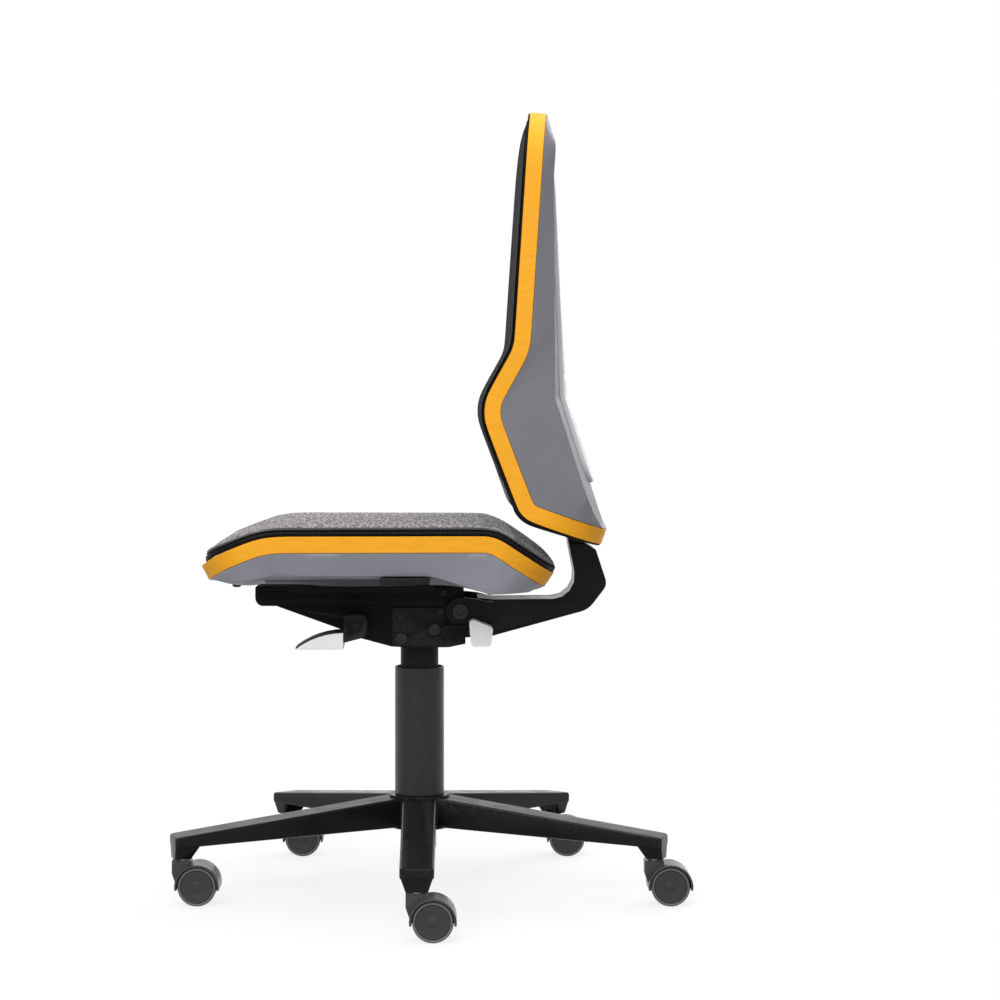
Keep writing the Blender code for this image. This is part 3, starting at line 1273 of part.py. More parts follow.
def add_bracket():
    """Fork on the pivot pin, arm to the rear and a flat neck up into the backrest."""
    outline = bracket_outline()
    arm = plate("arm", outline, -ARM_HALF, ARM_HALF, "X")
    bracket = add_part("back_bracket", arm, BLACK, RECLINE)
    front = PIVOT_Y + WEB_BACK
    web_low = (-CHEEK_OUT, front, PIVOT_Z - WEB_DROP)
    web_high = (CHEEK_OUT, front + WEB_DEPTH, PIVOT_Z + WEB_RISE)
    combine(bracket, block("web", web_low, web_high), "UNION")
    reach = front + WEB_DEPTH
    cheek = arc((PIVOT_Y, PIVOT_Z), CHEEK_RADIUS, 100, 260, 8)
    cheek += [(front, PIVOT_Z - CHEEK_DROP), (reach, PIVOT_Z - CHEEK_DROP)]
    cheek += [(reach, PIVOT_Z + CHEEK_RISE), (front, PIVOT_Z + ARM_FRONT_RISE)]
    for side in (-1, 1):
        near, far = side * CHEEK_IN, side * CHEEK_OUT
        combine(bracket, plate("cheek", cheek, min(near, far), max(near, far), "X"), "UNION")
    ends = [(side * (CHEEK_OUT + CUT_OVER), PIVOT_Y, PIVOT_Z) for side in (-1, 1)]
    combine(bracket, rod("pin_bore", *ends, PIVOT_RADIUS + GAP, steps=16), "DIFFERENCE")
    for side in (-1, 1):
        near, far = side * NECK_PLATE_HALF, side * (ARM_HALF + CUT_OVER)
        low = (min(near, far), NECK_FOOT_Y - NECK_PLATE_LENGTH, NECK_FOOT_Z - NECK_SIDE_DROP)
        high = (max(near, far), NECK_FOOT_Y + NECK_PLATE_LENGTH, NECK_FOOT_Z + NECK_PLATE_LENGTH * 2)
        combine(bracket, block("neck_side", low, high), "DIFFERENCE")


def seat_sheet():
    """The seat panel: flat in the middle, dropping at the front and at the rear."""
    bend = Bend(
        [
            (SEAT_FRONT_Y, SEAT_Z - SEAT_FRONT_DROP, 0),
            (SEAT_LIP_Y, SEAT_Z - SEAT_LIP_DROP, SEAT_LIP_BEND),
            (SEAT_FRONT_BEND_Y, SEAT_Z, SEAT_FRONT_BEND),
            (SEAT_REAR_BEND_Y, SEAT_Z, SEAT_REAR_BEND),
            (SEAT_REAR_Y, SEAT_Z - SEAT_REAR_DROP, 0),
        ]
    )
    halves = (SEAT_FRONT_HALF, SEAT_REAR_HALF)
    corners = (SEAT_CORNER, SEAT_CORNER)
    bows = (SEAT_FRONT_BOW, SEAT_REAR_BOW)
    outline = panel_outline(bend, halves, (0.0, bend.length), corners, bows, SEAT_SIDE_POINTS)
    return Sheet(bend, outline)


def add_seat():
    """Shell, band, pad plate, pad and depth button of the seat."""
    sheet = seat_sheet()
    add_part("seat_band", band_solid("band", sheet), ORANGE, SEAT)
    rims = [(PLATE_INSET, GAP), (PLATE_INSET / 2, SEAT_PLATE_HEIGHT / 2), (PLATE_INSET, SEAT_PLATE_HEIGHT)]
    add_part("seat_pad_plate", panel_solid("plate", sheet, rims), BLACK, SEAT)
    low = SEAT_PLATE_HEIGHT + GAP
    top = low + SEAT_PAD_EDGE
    swell = SEAT_PAD_EDGE / 2
    pad = [(PAD_INSET + swell, low), (PAD_INSET, low + swell), (PAD_INSET + swell, top)]
    pad.append((PAD_INSET + PAD_SHOULDER, top + swell))
    pad.append((PAD_INSET + PAD_CROWN_INSET, top + PAD_SHOULDER_RISE))
    lift = SEAT_PAD_CROWN - PAD_SHOULDER_RISE
    add_part("seat_pad", panel_solid("pad", sheet, pad, lift, CAP_COLUMNS), FABRIC, SEAT)
    add_seat_shell(sheet)


def add_seat_shell(sheet):
    """Tray under the seat, its side edge arched and its belly on the slide."""
    nose, arch = SEAT_FRONT_Y + SHELL_NOSE_BACK, SEAT_FRONT_Y + SHELL_ARCH_BACK
    heel, arch_end = SEAT_REAR_Y - SHELL_HEEL, SEAT_REAR_Y - SHELL_ARCH_END
    step = (arch - nose) / 3
    edge = [
        (SEAT_FRONT_Y - SEAT_FRONT_BOW, BELLY_Z + SHELL_FRONT_RISE),
        (nose, BELLY_Z + SHELL_NOSE_RISE),
        (nose + step, BELLY_Z + SHELL_NOSE_RISE + SHELL_ARCH / 8),
        (arch, BELLY_Z + SHELL_ARCH),
        (arch_end, BELLY_Z + SHELL_ARCH),
        (arch_end + step * 2, BELLY_Z + SHELL_ARCH * 0.7),
        (heel, BELLY_Z - SHELL_HEEL_DROP),
        (SEAT_REAR_Y, BELLY_Z - SHELL_REAR_DROP),
    ]
    belly = [
        (SEAT_FRONT_Y, BELLY_Z + SHELL_FRONT_RISE),
        (SEAT_FRONT_Y + SHELL_BELLY_INSET + SHELL_SIDE_INSET, BELLY_Z),
        (heel - SHELL_BELLY_INSET, BELLY_Z),
        (heel, BELLY_Z - SHELL_BELLY_DROP),
        (SEAT_REAR_Y, BELLY_Z - SHELL_REAR_DROP),
    ]

    def lowered(inset, line, lift):
        ring = []
        for x, s, t in sheet.ring(inset, SHOULDER):
            spot = sheet.place(x, s, t)
            ring.append(Vector((spot.x, spot.y, height_at(line, spot.y) + lift)))
        return ring

    rims = rim_rings(sheet)
    outside = [lowered(SHELL_BELLY_INSET, belly, 0), lowered(SHELL_SIDE_INSET, edge, 0)]
    inside = [
        lowered(SHELL_SIDE_INSET + SHELL_WALL, edge, SHELL_WALL),
        lowered(SHELL_BELLY_INSET + SHELL_WALL, belly, SHELL_WALL),
    ]
    rings = [*outside, *rims, *inside]

    def flat_cap(ring):
        by_height = [(p.x, p.y, p.z) for p in ring]
        return ladder(by_height, lambda x, y, z: Vector((x, y, z)))

    shell = add_part("seat_shell", lofted("shell", rings, flat_cap(rings[0]), flat_cap(rings[-1])), SHELL_GREY, SEAT)
    middle = (SEAT_FRONT_HALF + SEAT_REAR_HALF) / 2
    outer = middle - BUTTON_IN
    low = BELLY_Z + BUTTON_RISE
    half = BUTTON_LENGTH / 2
    body_low = (outer - BUTTON_DEPTH, BUTTON_Y - half, low)
    body_high = (outer, BUTTON_Y + half, low + BUTTON_HEIGHT)
    add_part("seat_depth_button", block("button", body_low, body_high), BLACK, BUTTON)
    room = Vector((0, RUN_GAP, RUN_GAP))
    slot_low = Vector((outer - BUTTON_DEPTH - CUT_OVER, body_low[1], low)) - room
    slot_high = Vector((outer + SHELL_BELLY_INSET, body_high[1], low + BUTTON_HEIGHT)) + room
    combine(shell, block("button_slot", slot_low, slot_high), "DIFFERENCE")


def add_slide():
    """Plate under the seat shell whose lips hold the carrier's rails."""
    inside = RAIL_HALF + RUN_GAP
    outside = inside + SLIDE_WALL
    lip = HOUSING_HALF + SLIDE_WALL
    roof = CARRIER_TOP + RUN_GAP
    lip_top = CARRIER_TOP - RAIL_HEIGHT - RUN_GAP
    low = lip_top - SLIDE_LIP
    right = [(lip, low), (outside, low), (outside, SLIDE_TOP)]
    left = [(-outside, SLIDE_TOP), (-outside, low), (-lip, low), (-lip, lip_top), (-inside, lip_top), (-inside, roof)]
    section = [*right, *left, (inside, roof), (inside, lip_top), (lip, lip_top)]
    add_part("seat_slide", plate("slide", section, SLIDE_FRONT, SLIDE_REAR, "Y"), BLACK, SEAT)


def back_sheet():
    """The front of the backrest, from its turned-under foot over the lumbar bulge to its top."""
    base = NECK_FOOT_Z
    bend = Bend(
        [
            (BACK_FOOT_Y, base - BACK_FOOT_DROP, 0),
            (BACK_HEEL_Y, base + BACK_HEEL_RISE, BACK_HEEL_BEND),
            (BACK_LUMBAR_Y, base + BACK_LUMBAR_RISE, BACK_LUMBAR_BEND),
            (BACK_WAIST_Y, base + BACK_WAIST_RISE, BACK_LUMBAR_BEND),
            (BACK_TOP_Y, base + BACK_HEIGHT, 0),
        ]
    )
    halves = (BACK_LOW_HALF, BACK_TOP_HALF)
    bows = (BACK_FOOT_BOW, BACK_TOP_BOW)
    corners = (BACK_CORNER, BACK_CORNER)
    outline = panel_outline(bend, halves, (0.0, bend.length), corners, bows, BACK_SIDE_POINTS)
    return Sheet(bend, outline, lambda s: BACK_WRAP, BACK_LOW_HALF)


def rear_sheet():
    """The rear of the backrest, parallel to the bracket's neck below, upright above and flared at the top."""
    base = NECK_FOOT_Z
    lean = (REAR_BEND_RISE - REAR_FOOT_RISE) * math.tan(NECK_LEAN)
    foot = (REAR_BEND_Y + lean, base + REAR_FOOT_RISE, 0)
    corner = (REAR_BEND_Y, base + REAR_BEND_RISE, REAR_BEND)
    flare = (REAR_FLARE_Y, base + BACK_HEIGHT - REAR_FLARE_SHORT, 0)
    bend = Bend([foot, corner, flare, (REAR_TOP_Y, base + BACK_HEIGHT - REAR_SHORT, 0)])
    halves = (BACK_LOW_HALF - REAR_INSET, BACK_TOP_HALF - REAR_INSET)
    ends = (0.0, bend.length)
    bows = (0.0, BACK_TOP_BOW / 2)
    corners = (BACK_CORNER - REAR_INSET, REAR_CORNER)
    outline = panel_outline(bend, halves, ends, corners, bows, BACK_SIDE_POINTS)
    straight = bend.starts[BEND_STEPS + 1]

    def bulge(s):
        share = min(max((s - straight) / (bend.length - straight), 0.0), 1.0)
        return REAR_BULGE_LOW + (REAR_BULGE_TOP - REAR_BULGE_LOW) * share

    return Sheet(bend, outline, bulge, BACK_LOW_HALF)


def neck_box(name, half, up_low, up_high, out_low, out_high):
    """A box set along the bracket's neck."""
    mesh = block(name, (-half, out_low, up_low), (half, out_high, up_high))
    turn = Matrix((Vector((1, 0, 0)), NECK_OUT, NECK_UP)).transposed().to_4x4()
    mesh.transform(Matrix.Translation((0, NECK_FOOT_Y, NECK_FOOT_Z)) @ turn)
    return mesh


def add_back():
    """Shell, band, pad plate, pad, rear panel and carriage of the backrest."""
    front, rear = back_sheet(), rear_sheet()
    add_part("back_band", band_solid("band", front), ORANGE, BACK)
    rims = [(PLATE_INSET, GAP), (PLATE_INSET / 2, BACK_PLATE_HEIGHT / 2), (PLATE_INSET, BACK_PLATE_HEIGHT)]
    plate_part = add_part("back_pad_plate", panel_solid("plate", front, rims, columns=CAP_COLUMNS), BLACK, BACK)
    across = (-NECK_SLOT_ROOM, NECK_PLATE + NECK_SLOT_ROOM)
    slot = neck_box("neck_slot", NECK_PLATE_HALF + NECK_SLOT_ROOM, -NECK_SLOT_DROP, NECK_SLOT_RISE, *across)
    combine(plate_part, slot, "DIFFERENCE")
    facet_sag = BACK_WRAP / CAP_COLUMNS**2
    low = BACK_PLATE_HEIGHT + GAP + facet_sag
    top = low + BACK_PAD_EDGE
    swell = BACK_PAD_EDGE / 2
    halves = (BACK_LOW_HALF - PLATE_INSET, BACK_TOP_HALF - PLATE_INSET)
    foot_bend_end = front.bend.starts[BEND_STEPS + 1]
    ends = (foot_bend_end + BACK_PAD_SPARE, front.bend.length - BACK_PAD_TOP)
    bows = (BACK_FOOT_BOW, BACK_TOP_BOW)
    corners = (BACK_PAD_CORNER, BACK_CORNER)
    pad_outline = panel_outline(front.bend, halves, ends, corners, bows, BACK_SIDE_POINTS)
    cover = Sheet(front.bend, pad_outline, front.wrap, front.half)
    pad = [(swell * 2, low), (swell, low + swell), (swell * 2, top)]
    pad += [(PAD_SHOULDER, top + swell), (PAD_CROWN_INSET, top + PAD_SHOULDER_RISE)]
    lift = BACK_PAD_CROWN - PAD_SHOULDER_RISE
    add_part("back_pad", panel_solid("pad", cover, pad, lift, CAP_COLUMNS), FABRIC, BACK)
    add_back_shell(front, rear)
    add_rear_panel(rear)
    half = NECK_PLATE_HALF + CARRIAGE_WALL
    column = 2 * (BACK_LOW_HALF - REAR_INSET) / CAP_COLUMNS
    flat_share = 1 - half * column / BACK_LOW_HALF**2
    bulge = REAR_BULGE_LOW * math.cos(NECK_LEAN) * flat_share
    depth = neck_room(rear) + bulge - SHELL_WALL - GAP
    carriage = neck_box(
        "carriage",
        half,
        CARRIAGE_RISE,
        CARRIAGE_RISE + CARRIAGE_LENGTH,
        -CARRIAGE_WALL,
        depth,
    )
    sleeve = add_part("back_carriage", carriage, BLACK, BACK)
    across = (-RUN_GAP, NECK_PLATE + RUN_GAP)
    room = neck_box("room", NECK_PLATE_HALF + RUN_GAP, 0, CARRIAGE_RISE + CARRIAGE_LENGTH + CUT_OVER, *across)
    combine(sleeve, room, "DIFFERENCE")


def neck_room(rear):
    """Distance from the neck's front face to the rear panel line, square to the neck."""
    spot, _ = rear.bend.at(PANEL_FOOT)
    return (Vector((0, spot.x, spot.y)) - Vector((0, NECK_FOOT_Y, NECK_FOOT_Z))).dot(NECK_OUT)


def add_back_shell(front, rear):
    """Tray behind the backrest panel, closed at the rear."""
    outer = rear.ring(0, 0)
    inner = rear.ring(SHELL_WALL, SHELL_WALL)
    rings = [[rear.place(*p) for p in outer], *rim_rings(front), [rear.place(*p) for p in inner]]
    caps = [ladder(ring, rear.place, columns=CAP_COLUMNS) for ring in (outer, inner)]
    add_part("back_shell", lofted("shell", rings, *caps), SHELL_GREY, BACK)


def add_rear_panel(rear):
    """Light panel on the rear of the backrest, with level slots."""
    first, last = PANEL_FOOT, rear.bend.length - PANEL_TOP
    halves = (PANEL_HALF, PANEL_HALF)
    corners = (PANEL_CORNER, PANEL_CORNER)
    outline = panel_outline(rear.bend, halves, (first, last), corners, (0.0, 0.0), PANEL_SIDE_POINTS)
    sheet = Sheet(rear.bend, outline, rear.wrap, rear.half)
    column = PANEL_HALF / CAP_COLUMNS
    seat = -GAP - REAR_BULGE_LOW * (column / BACK_LOW_HALF) ** 2
    rims = [(PANEL_HEIGHT / 3, seat - PANEL_HEIGHT), (0, seat - PANEL_HEIGHT * 0.7), (0, seat)]
    panel = add_part("back_rear_panel", panel_solid("panel", sheet, rims, columns=CAP_COLUMNS), PANEL_GREY, BACK)
    for k in range(SLOT_COUNT):
        spot, _ = rear.bend.at(last - SLOT_PITCH * (k + 1))
        low = (-SLOT_HALF, spot.x - CUT_OVER, spot.y - SLOT_HEIGHT / 2)
        high = (SLOT_HALF, spot.x + REAR_BULGE_LOW + PANEL_HEIGHT + CUT_OVER, spot.y + SLOT_HEIGHT / 2)
        combine(panel, block("slot", low, high), "DIFFERENCE")


def main():
    """Builds the chair from the floor up."""
    add_castors()
    add_base()
    add_column()
    add_housing()
    add_carrier()
    add_bolt("front_through_bolt", FRONT_BOLT_Y, MECH_BOTTOM + BOLT_RISE)
    add_bolt("rear_through_bolt", REAR_BOLT_Y, MECH_BOTTOM + REAR_BOLT_RISE)
    add_pivot_pin()
    add_release()
    add_tilt_lever()
    add_recline_spring()
    add_bracket()
    add_slide()
    add_seat()
    add_back()


main()
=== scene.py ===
"""Looks of the laboratory chair: moulded plastics, woven pads, a studio floor, soft light and the camera."""

import json
import math

import bmesh
import bpy
from mathutils import Matrix, Vector
from mathutils.bvhtree import BVHTree


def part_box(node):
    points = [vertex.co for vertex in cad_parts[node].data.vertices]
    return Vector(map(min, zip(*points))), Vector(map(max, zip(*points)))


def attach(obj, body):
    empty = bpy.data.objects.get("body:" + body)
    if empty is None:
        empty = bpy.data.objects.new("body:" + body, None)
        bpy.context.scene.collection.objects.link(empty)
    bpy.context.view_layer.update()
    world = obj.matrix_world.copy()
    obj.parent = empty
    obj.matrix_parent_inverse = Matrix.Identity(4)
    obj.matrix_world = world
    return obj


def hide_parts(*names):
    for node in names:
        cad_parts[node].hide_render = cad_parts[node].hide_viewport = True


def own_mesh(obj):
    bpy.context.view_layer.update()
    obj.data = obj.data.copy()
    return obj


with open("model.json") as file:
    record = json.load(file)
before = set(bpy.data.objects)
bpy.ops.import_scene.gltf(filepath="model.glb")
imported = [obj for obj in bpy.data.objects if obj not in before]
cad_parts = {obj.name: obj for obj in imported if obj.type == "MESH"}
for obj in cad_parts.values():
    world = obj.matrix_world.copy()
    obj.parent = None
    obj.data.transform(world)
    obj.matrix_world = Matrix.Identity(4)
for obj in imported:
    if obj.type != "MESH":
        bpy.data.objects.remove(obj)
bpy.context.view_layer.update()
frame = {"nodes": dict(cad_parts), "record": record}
NODES = frame["nodes"]
RECORD = frame["record"]
BODY_OF = {node: body for body, nodes in RECORD["behaviour"]["bodies"].items() for node in nodes}
SLOT_OF = {row["node"]: row["material_slot"] for row in RECORD["subparts"]}
CASTORS = range(1, 6)
SIDES = ("left", "right")

# Column axis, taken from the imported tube
COVER_LOW, COVER_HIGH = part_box("column_cover_tube")
AXIS = (COVER_LOW + COVER_HIGH) / 2

# Rounding and smoothing
MERGE = 0.00001
SOFT_ANGLE = math.radians(35)
FLAT_ANGLE = math.radians(1.5)
QUAD_BEND = math.radians(35)
QUAD_SKEW = math.radians(150)
CREASE_ANGLE = math.radians(40)
CAP_ANGLE = 0.02
FIRM_CREASE = 0.9
PAD_CREASE = 0.35
PLATE_CREASE = 0.6
BAND_CREASE = 0.55
SHELL_CREASE = 0.8
FACING = 0.3
CAP_FACING = 0.9
ROUND_STEPS = 72
WHEEL_STEPS = 48
BUMPER_STEPS = 32
SCREW_STEPS = 24

# Pads
PAD_PRESSURE = 4.0
PAD_FRAMES = 20
SEAT_SWELL = 0.0005
BACK_SWELL = 0.0005
SEAT_SINK = 0.0010
BACK_SINK = 0.0018
SEAT_BORDER = 0.0042
BACK_BORDER = 0.0024
SEAT_REAR_BORDER = 0.122
SEAT_FRONT_BORDER = -0.200
SEAT_FRONT_GROWTH = 0.02
BORDER_BLACK = (0.012, 0.011, 0.013)
BORDER_BLUR = 0.0002
BACK_THREAD = 0.0023
SEAT_THREAD = 0.0030

# Blunt front end of the seat, measured from the column axis
NOSE = {"seat_pad": -0.2660, "seat_pad_plate": -0.2668, "seat_band": -0.2745, "seat_shell": -0.2722}
NOSE_SHARE = 0.15
NOSE_SLOPE = 0.70
NOSE_LIFT = 0.003
NOSE_LIFT_START = -0.235

# Part of the seat shell's underside that gets painted shade
UNDER_TOP = 0.4285
UNDER_FRONT, UNDER_REAR = -0.192, 0.012

# Straight rear edges of the back shell above the waist, measured from the column axis
REAR_EDGE, REAR_HALF = 0.160, 0.165
REAR_LOW, REAR_HIGH = 0.7277, 0.8350
REAR_SHARE = 0.25
REAR_LEAN = 0.0324

# Thicker plate round the heel of the backrest, measured from the column axis
HEEL_TOP, HEEL_RAMP = 0.565, 0.040
HEEL_REAR, HEEL_RUN = 0.205, 0.080
HEEL_DRAW = 0.0035
HEEL_WAY = Vector((0, -0.6, -0.8))

# Small parts of the mechanism, measured from the column axis
SCREW_SPOTS = ((-0.0232, 0.3663, 0.0), (0.0294, 0.3741, 0.0), (0.0320, 0.3976, 0.0035))
BUMPER_SPOT = (0.120, -0.2330)
BUMPER_LOW, BUMPER_TOP, BUMPER_RADIUS = 0.4105, 0.4230, 0.0058
# The next three numbers size a dark strip of painted shade along the height lever paddle's top edge
PADDLE_SHADE_DEPTH = 0.0012
PADDLE_SHADE_LIFT = 0.12
PADDLE_SHADE_SIDE = MERGE * 20
PANEL_SEAT = 0.0022

# Studio
FLOOR_GLOW = 0.80
FLOOR_BOUNCE = (0.26, 0.26, 0.26)
FILL_LEVEL = 0.52

# Camera, placed from the column axis
CAMERA_AWAY = 3.4
CAMERA_BACK = 0.0352
CAMERA_HEIGHT = 0.656
CAMERA_LENS = 92.05
FRAME_SHIFT = (0.054, -0.1044)


class Finish:
    """A Principled material whose patterns read Object coordinates."""

    def __init__(self, name, metallic=0.0, specular=0.5):
        self.made = bpy.data.materials.new(name)
        self.made.use_nodes = True
        self.tree = self.made.node_tree
        self.shader = self.tree.nodes["Principled BSDF"]
        self.shader.inputs["Metallic"].default_value = metallic
        self.shader.inputs["Specular IOR Level"].default_value = specular
        self.place = self.node("ShaderNodeTexCoord").outputs["Object"]
        self.normal = None

    def node(self, kind, **settings):
        made = self.tree.nodes.new(kind)
        for key, value in settings.items():
            setattr(made, key, value)
        return made

    def link(self, source, target):
        self.tree.links.new(source, target)

    def noise(self, scale, detail=3.0, stretch=(1, 1, 1)):
        """Cloudy values from 0 to 1."""
        mapping = self.node("ShaderNodeMapping")
        mapping.inputs["Scale"].default_value = stretch
        self.link(self.place, mapping.inputs["Vector"])
        cloud = self.node("ShaderNodeTexNoise")
        cloud.inputs["Scale"].default_value = scale
        cloud.inputs["Detail"].default_value = detail
        self.link(mapping.outputs["Vector"], cloud.inputs["Vector"])
        return cloud.outputs["Fac"]

    def edges(self):
        """High on outer edges, low in corners."""
        return self.node("ShaderNodeNewGeometry").outputs["Pointiness"]

    def ranged(self, value, low, high, start=0.35, end=0.65):
        """A value brought from one range to another and held within it."""
        step = self.node("ShaderNodeMapRange")
        for key, number in (("From Min", start), ("From Max", end), ("To Min", low), ("To Max", high)):
            step.inputs[key].default_value = number
        self.link(value, step.inputs["Value"])
        return step.outputs["Result"]

    def sums(self, operation, first, second=0.0):
        """One step of arithmetic on numbers or sockets."""
        step = self.node("ShaderNodeMath", operation=operation)
        for socket, value in zip(step.inputs, (first, second)):
            if isinstance(value, (int, float)):
                socket.default_value = value
            else:
                self.link(value, socket)
        return step.outputs[0]

    def mixed(self, share, first, second):
        """Two colours, each a socket or three numbers, mixed by a share."""
        step = self.node("ShaderNodeMix", data_type="RGBA")
        self.link(share, step.inputs[0])
        for socket, value in ((step.inputs[6], first), (step.inputs[7], second)):
            if isinstance(value, tuple):
                socket.default_value = (*value, 1.0)
            else:
                self.link(value, socket)
        return step.outputs[2]

    def colour(self, value):
        self.link(value, self.shader.inputs["Base Color"])

    def rough(self, value):
        self.link(value, self.shader.inputs["Roughness"])

    def bump(self, height, strength, depth):
        """Adds relief on top of what is there already."""
        step = self.node("ShaderNodeBump")
        step.inputs["Strength"].default_value = strength
        step.inputs["Distance"].default_value = depth
        self.link(height, step.inputs["Height"])
        if self.normal:
            self.link(self.normal, step.inputs["Normal"])
        self.normal = step.outputs["Normal"]
        self.link(self.normal, self.shader.inputs["Normal"])


def shaded(colour, factor):
    """A colour made darker or lighter."""
    return tuple(min(1.0, part * factor) for part in colour)


def moulded_plastic(name, colour, roughness, grain=0.12, worn=0.35, specular=0.5):
    """Moulded plastic with slow tone changes, spark-eroded grain and paler rubbed edges."""
    finish = Finish(name, specular=specular)
    tone = finish.mixed(finish.ranged(finish.noise(7.0), 0, 1), shaded(colour, 0.93), shaded(colour, 1.07))
    rubbed = finish.sums("MULTIPLY", finish.ranged(finish.edges(), 0, worn, 0.52, 0.62), finish.noise(180.0))
    pale = tuple(0.65 * part + 0.12 for part in colour)
    finish.colour(finish.mixed(rubbed, tone, pale))
    finish.bump(finish.noise(900.0, 2.0), grain, 0.0004)
    finish.bump(finish.noise(2600.0, 1.0), grain * 0.6, 0.0002)
    finish.rough(finish.ranged(finish.noise(35.0), roughness - 0.05, roughness + 0.05))
    return finish.made


def rubber_band(name, colour):
    """Flexible coloured band with a satin skin, faint streaks along it and soft dents."""
    finish = Finish(name, specular=0.2)
    streak = finish.noise(40.0, 4.0, (1.0, 1.0, 6.0))
    finish.colour(finish.mixed(finish.ranged(streak, 0, 1), shaded(colour, 0.95), shaded(colour, 1.04)))
    finish.bump(finish.noise(700.0, 3.0), 0.10, 0.0004)
    finish.bump(finish.noise(60.0), 0.05, 0.001)
    finish.rough(finish.ranged(finish.noise(90.0), 0.48, 0.60))
    return finish.made


def turned_steel(name, colour, roughness):
    """Plain steel with fine turning lines and small scratches."""
    finish = Finish(name, metallic=1.0)
    lines = finish.noise(600.0, 2.0, (0.1, 1.0, 1.0))
    finish.colour(finish.mixed(finish.ranged(lines, 0, 1), shaded(colour, 0.85), shaded(colour, 1.1)))
    finish.bump(lines, 0.08, 0.0002)
    finish.rough(finish.ranged(finish.noise(150.0, 4.0), roughness - 0.07, roughness + 0.1))
    return finish.made


def woven_cloth(name, along, light, dark, sheen, thread, heather):
    """Plain weave of pale and dark threads across X and along a second axis, with slubs and a dark border."""
    finish = Finish(name, specular=0.1)
    split = finish.node("ShaderNodeSeparateXYZ")
    finish.link(finish.place, split.inputs["Vector"])
    waves = []
    for axis in ("X", along):
        turn = finish.sums("MULTIPLY", split.outputs[axis], math.pi / thread)
        waves.append(finish.sums("SINE", turn))
    warp, weft = (finish.sums("ABSOLUTE", wave) for wave in waves)
    over = finish.sums("GREATER_THAN", finish.sums("MULTIPLY", *waves), 0.0)
    under = finish.sums("SUBTRACT", 1.0, over)
    crown = finish.sums(
        "ADD",
        finish.sums("MULTIPLY", over, finish.sums("POWER", warp, 0.6)),
        finish.sums("MULTIPLY", under, finish.sums("POWER", weft, 0.6)),
    )
    fibre = finish.noise(1500.0, 3.0)
    slub = finish.ranged(finish.noise(260.0, 4.0, (0.10, 1.0, 1.0)), 0, 1, 0.40, 0.60)
    pale = finish.mixed(slub, shaded(light, 1 - heather), shaded(light, 1 + heather))
    deep = finish.mixed(slub, shaded(dark, 1 - heather), shaded(dark, 1 + heather))
    yarn = finish.mixed(over, deep, pale)
    shadow = finish.ranged(crown, 0, 1, 0.15, 0.75)
    cloth = finish.mixed(shadow, shaded(dark, 0.35), yarn)
    rim = finish.mixed(over, shaded(BORDER_BLACK, 0.5), shaded(BORDER_BLACK, 1.2))
    inside = finish.node("ShaderNodeAttribute", attribute_name="inside_border").outputs["Fac"]
    finish.colour(finish.mixed(finish.ranged(inside, 0, 1, -BORDER_BLUR, BORDER_BLUR), rim, cloth))
    finish.bump(crown, 0.55, 0.0008)
    finish.bump(fibre, 0.25, 0.0003)
    finish.rough(finish.ranged(fibre, 0.82, 0.98))
    finish.shader.inputs["Sheen Weight"].default_value = sheen
    finish.shader.inputs["Sheen Roughness"].default_value = 0.35
    return finish.made


def make_plastics():
    """Moulded finishes: name, colour, roughness, and what differs from the usual grain, wear and gloss."""
    rows = (
        ("black_plastic", (0.0045, 0.0045, 0.0048), 0.50, {"specular": 0.08}),
        ("base_black", (0.0075, 0.0075, 0.0080), 0.24, {"grain": 0.015, "specular": 0.09}),
        ("column_black", (0.0120, 0.0120, 0.0124), 0.36, {"specular": 0.26}),
        ("castor_charcoal", (0.030, 0.029, 0.031), 0.26, {"grain": 0.03, "specular": 0.45}),
        ("wheel_grey", (0.045, 0.039, 0.046), 0.45, {"specular": 0.25}),
        ("wheel_tread", (0.16, 0.155, 0.16), 0.6, {"worn": 0.1, "specular": 0.3}),
        ("shell_grey", (0.285, 0.290, 0.325), 0.46, {"worn": 0.2, "specular": 0.3}),
        # Darker grey that paints the shade on the seat shell's recessed underside
        ("shell_underside_painted_shade", (0.085, 0.085, 0.095), 0.6, {"worn": 0.1, "specular": 0.2}),
        ("back_shell_grey", (0.185, 0.185, 0.208), 0.46, {"worn": 0.2, "specular": 0.3}),
        ("panel_light_grey", (0.80, 0.79, 0.81), 0.5, {"worn": 0.1}),
        ("lever_light_grey", (0.96, 0.955, 0.945), 0.42, {"worn": 0.05}),
    )
    return {name: moulded_plastic(name, colour, rough, **rest) for name, colour, rough, rest in rows}


def make_finishes():
    """One finish for each material slot of the record, and extra ones for single pieces."""
    # Both pads are one charcoal fabric: the seat's paler threads carry painted light and sheen, the back's
    # darker threads painted shade
    seat_light, seat_dark = (0.46, 0.425, 0.445), (0.060, 0.054, 0.058)
    back_light, back_dark = (0.022, 0.019, 0.019), (0.006, 0.0055, 0.0055)
    return {
        **make_plastics(),
        "bright_steel": turned_steel("bright_steel", (0.55, 0.55, 0.56), 0.32),
        "black_metal": turned_steel("black_metal", (0.03, 0.03, 0.032), 0.4),
        "orange_band": rubber_band("orange_band", (0.94, 0.415, 0.017)),
        "charcoal_fabric": woven_cloth("seat_weave_painted_light", "Y", seat_light, seat_dark, 0.3, SEAT_THREAD, 0.65),
        "back_weave_painted_shade": woven_cloth("back_weave_painted_shade", "Z", back_light, back_dark, 0.04, BACK_THREAD, 0.4),
    }


FINISHES = make_finishes()


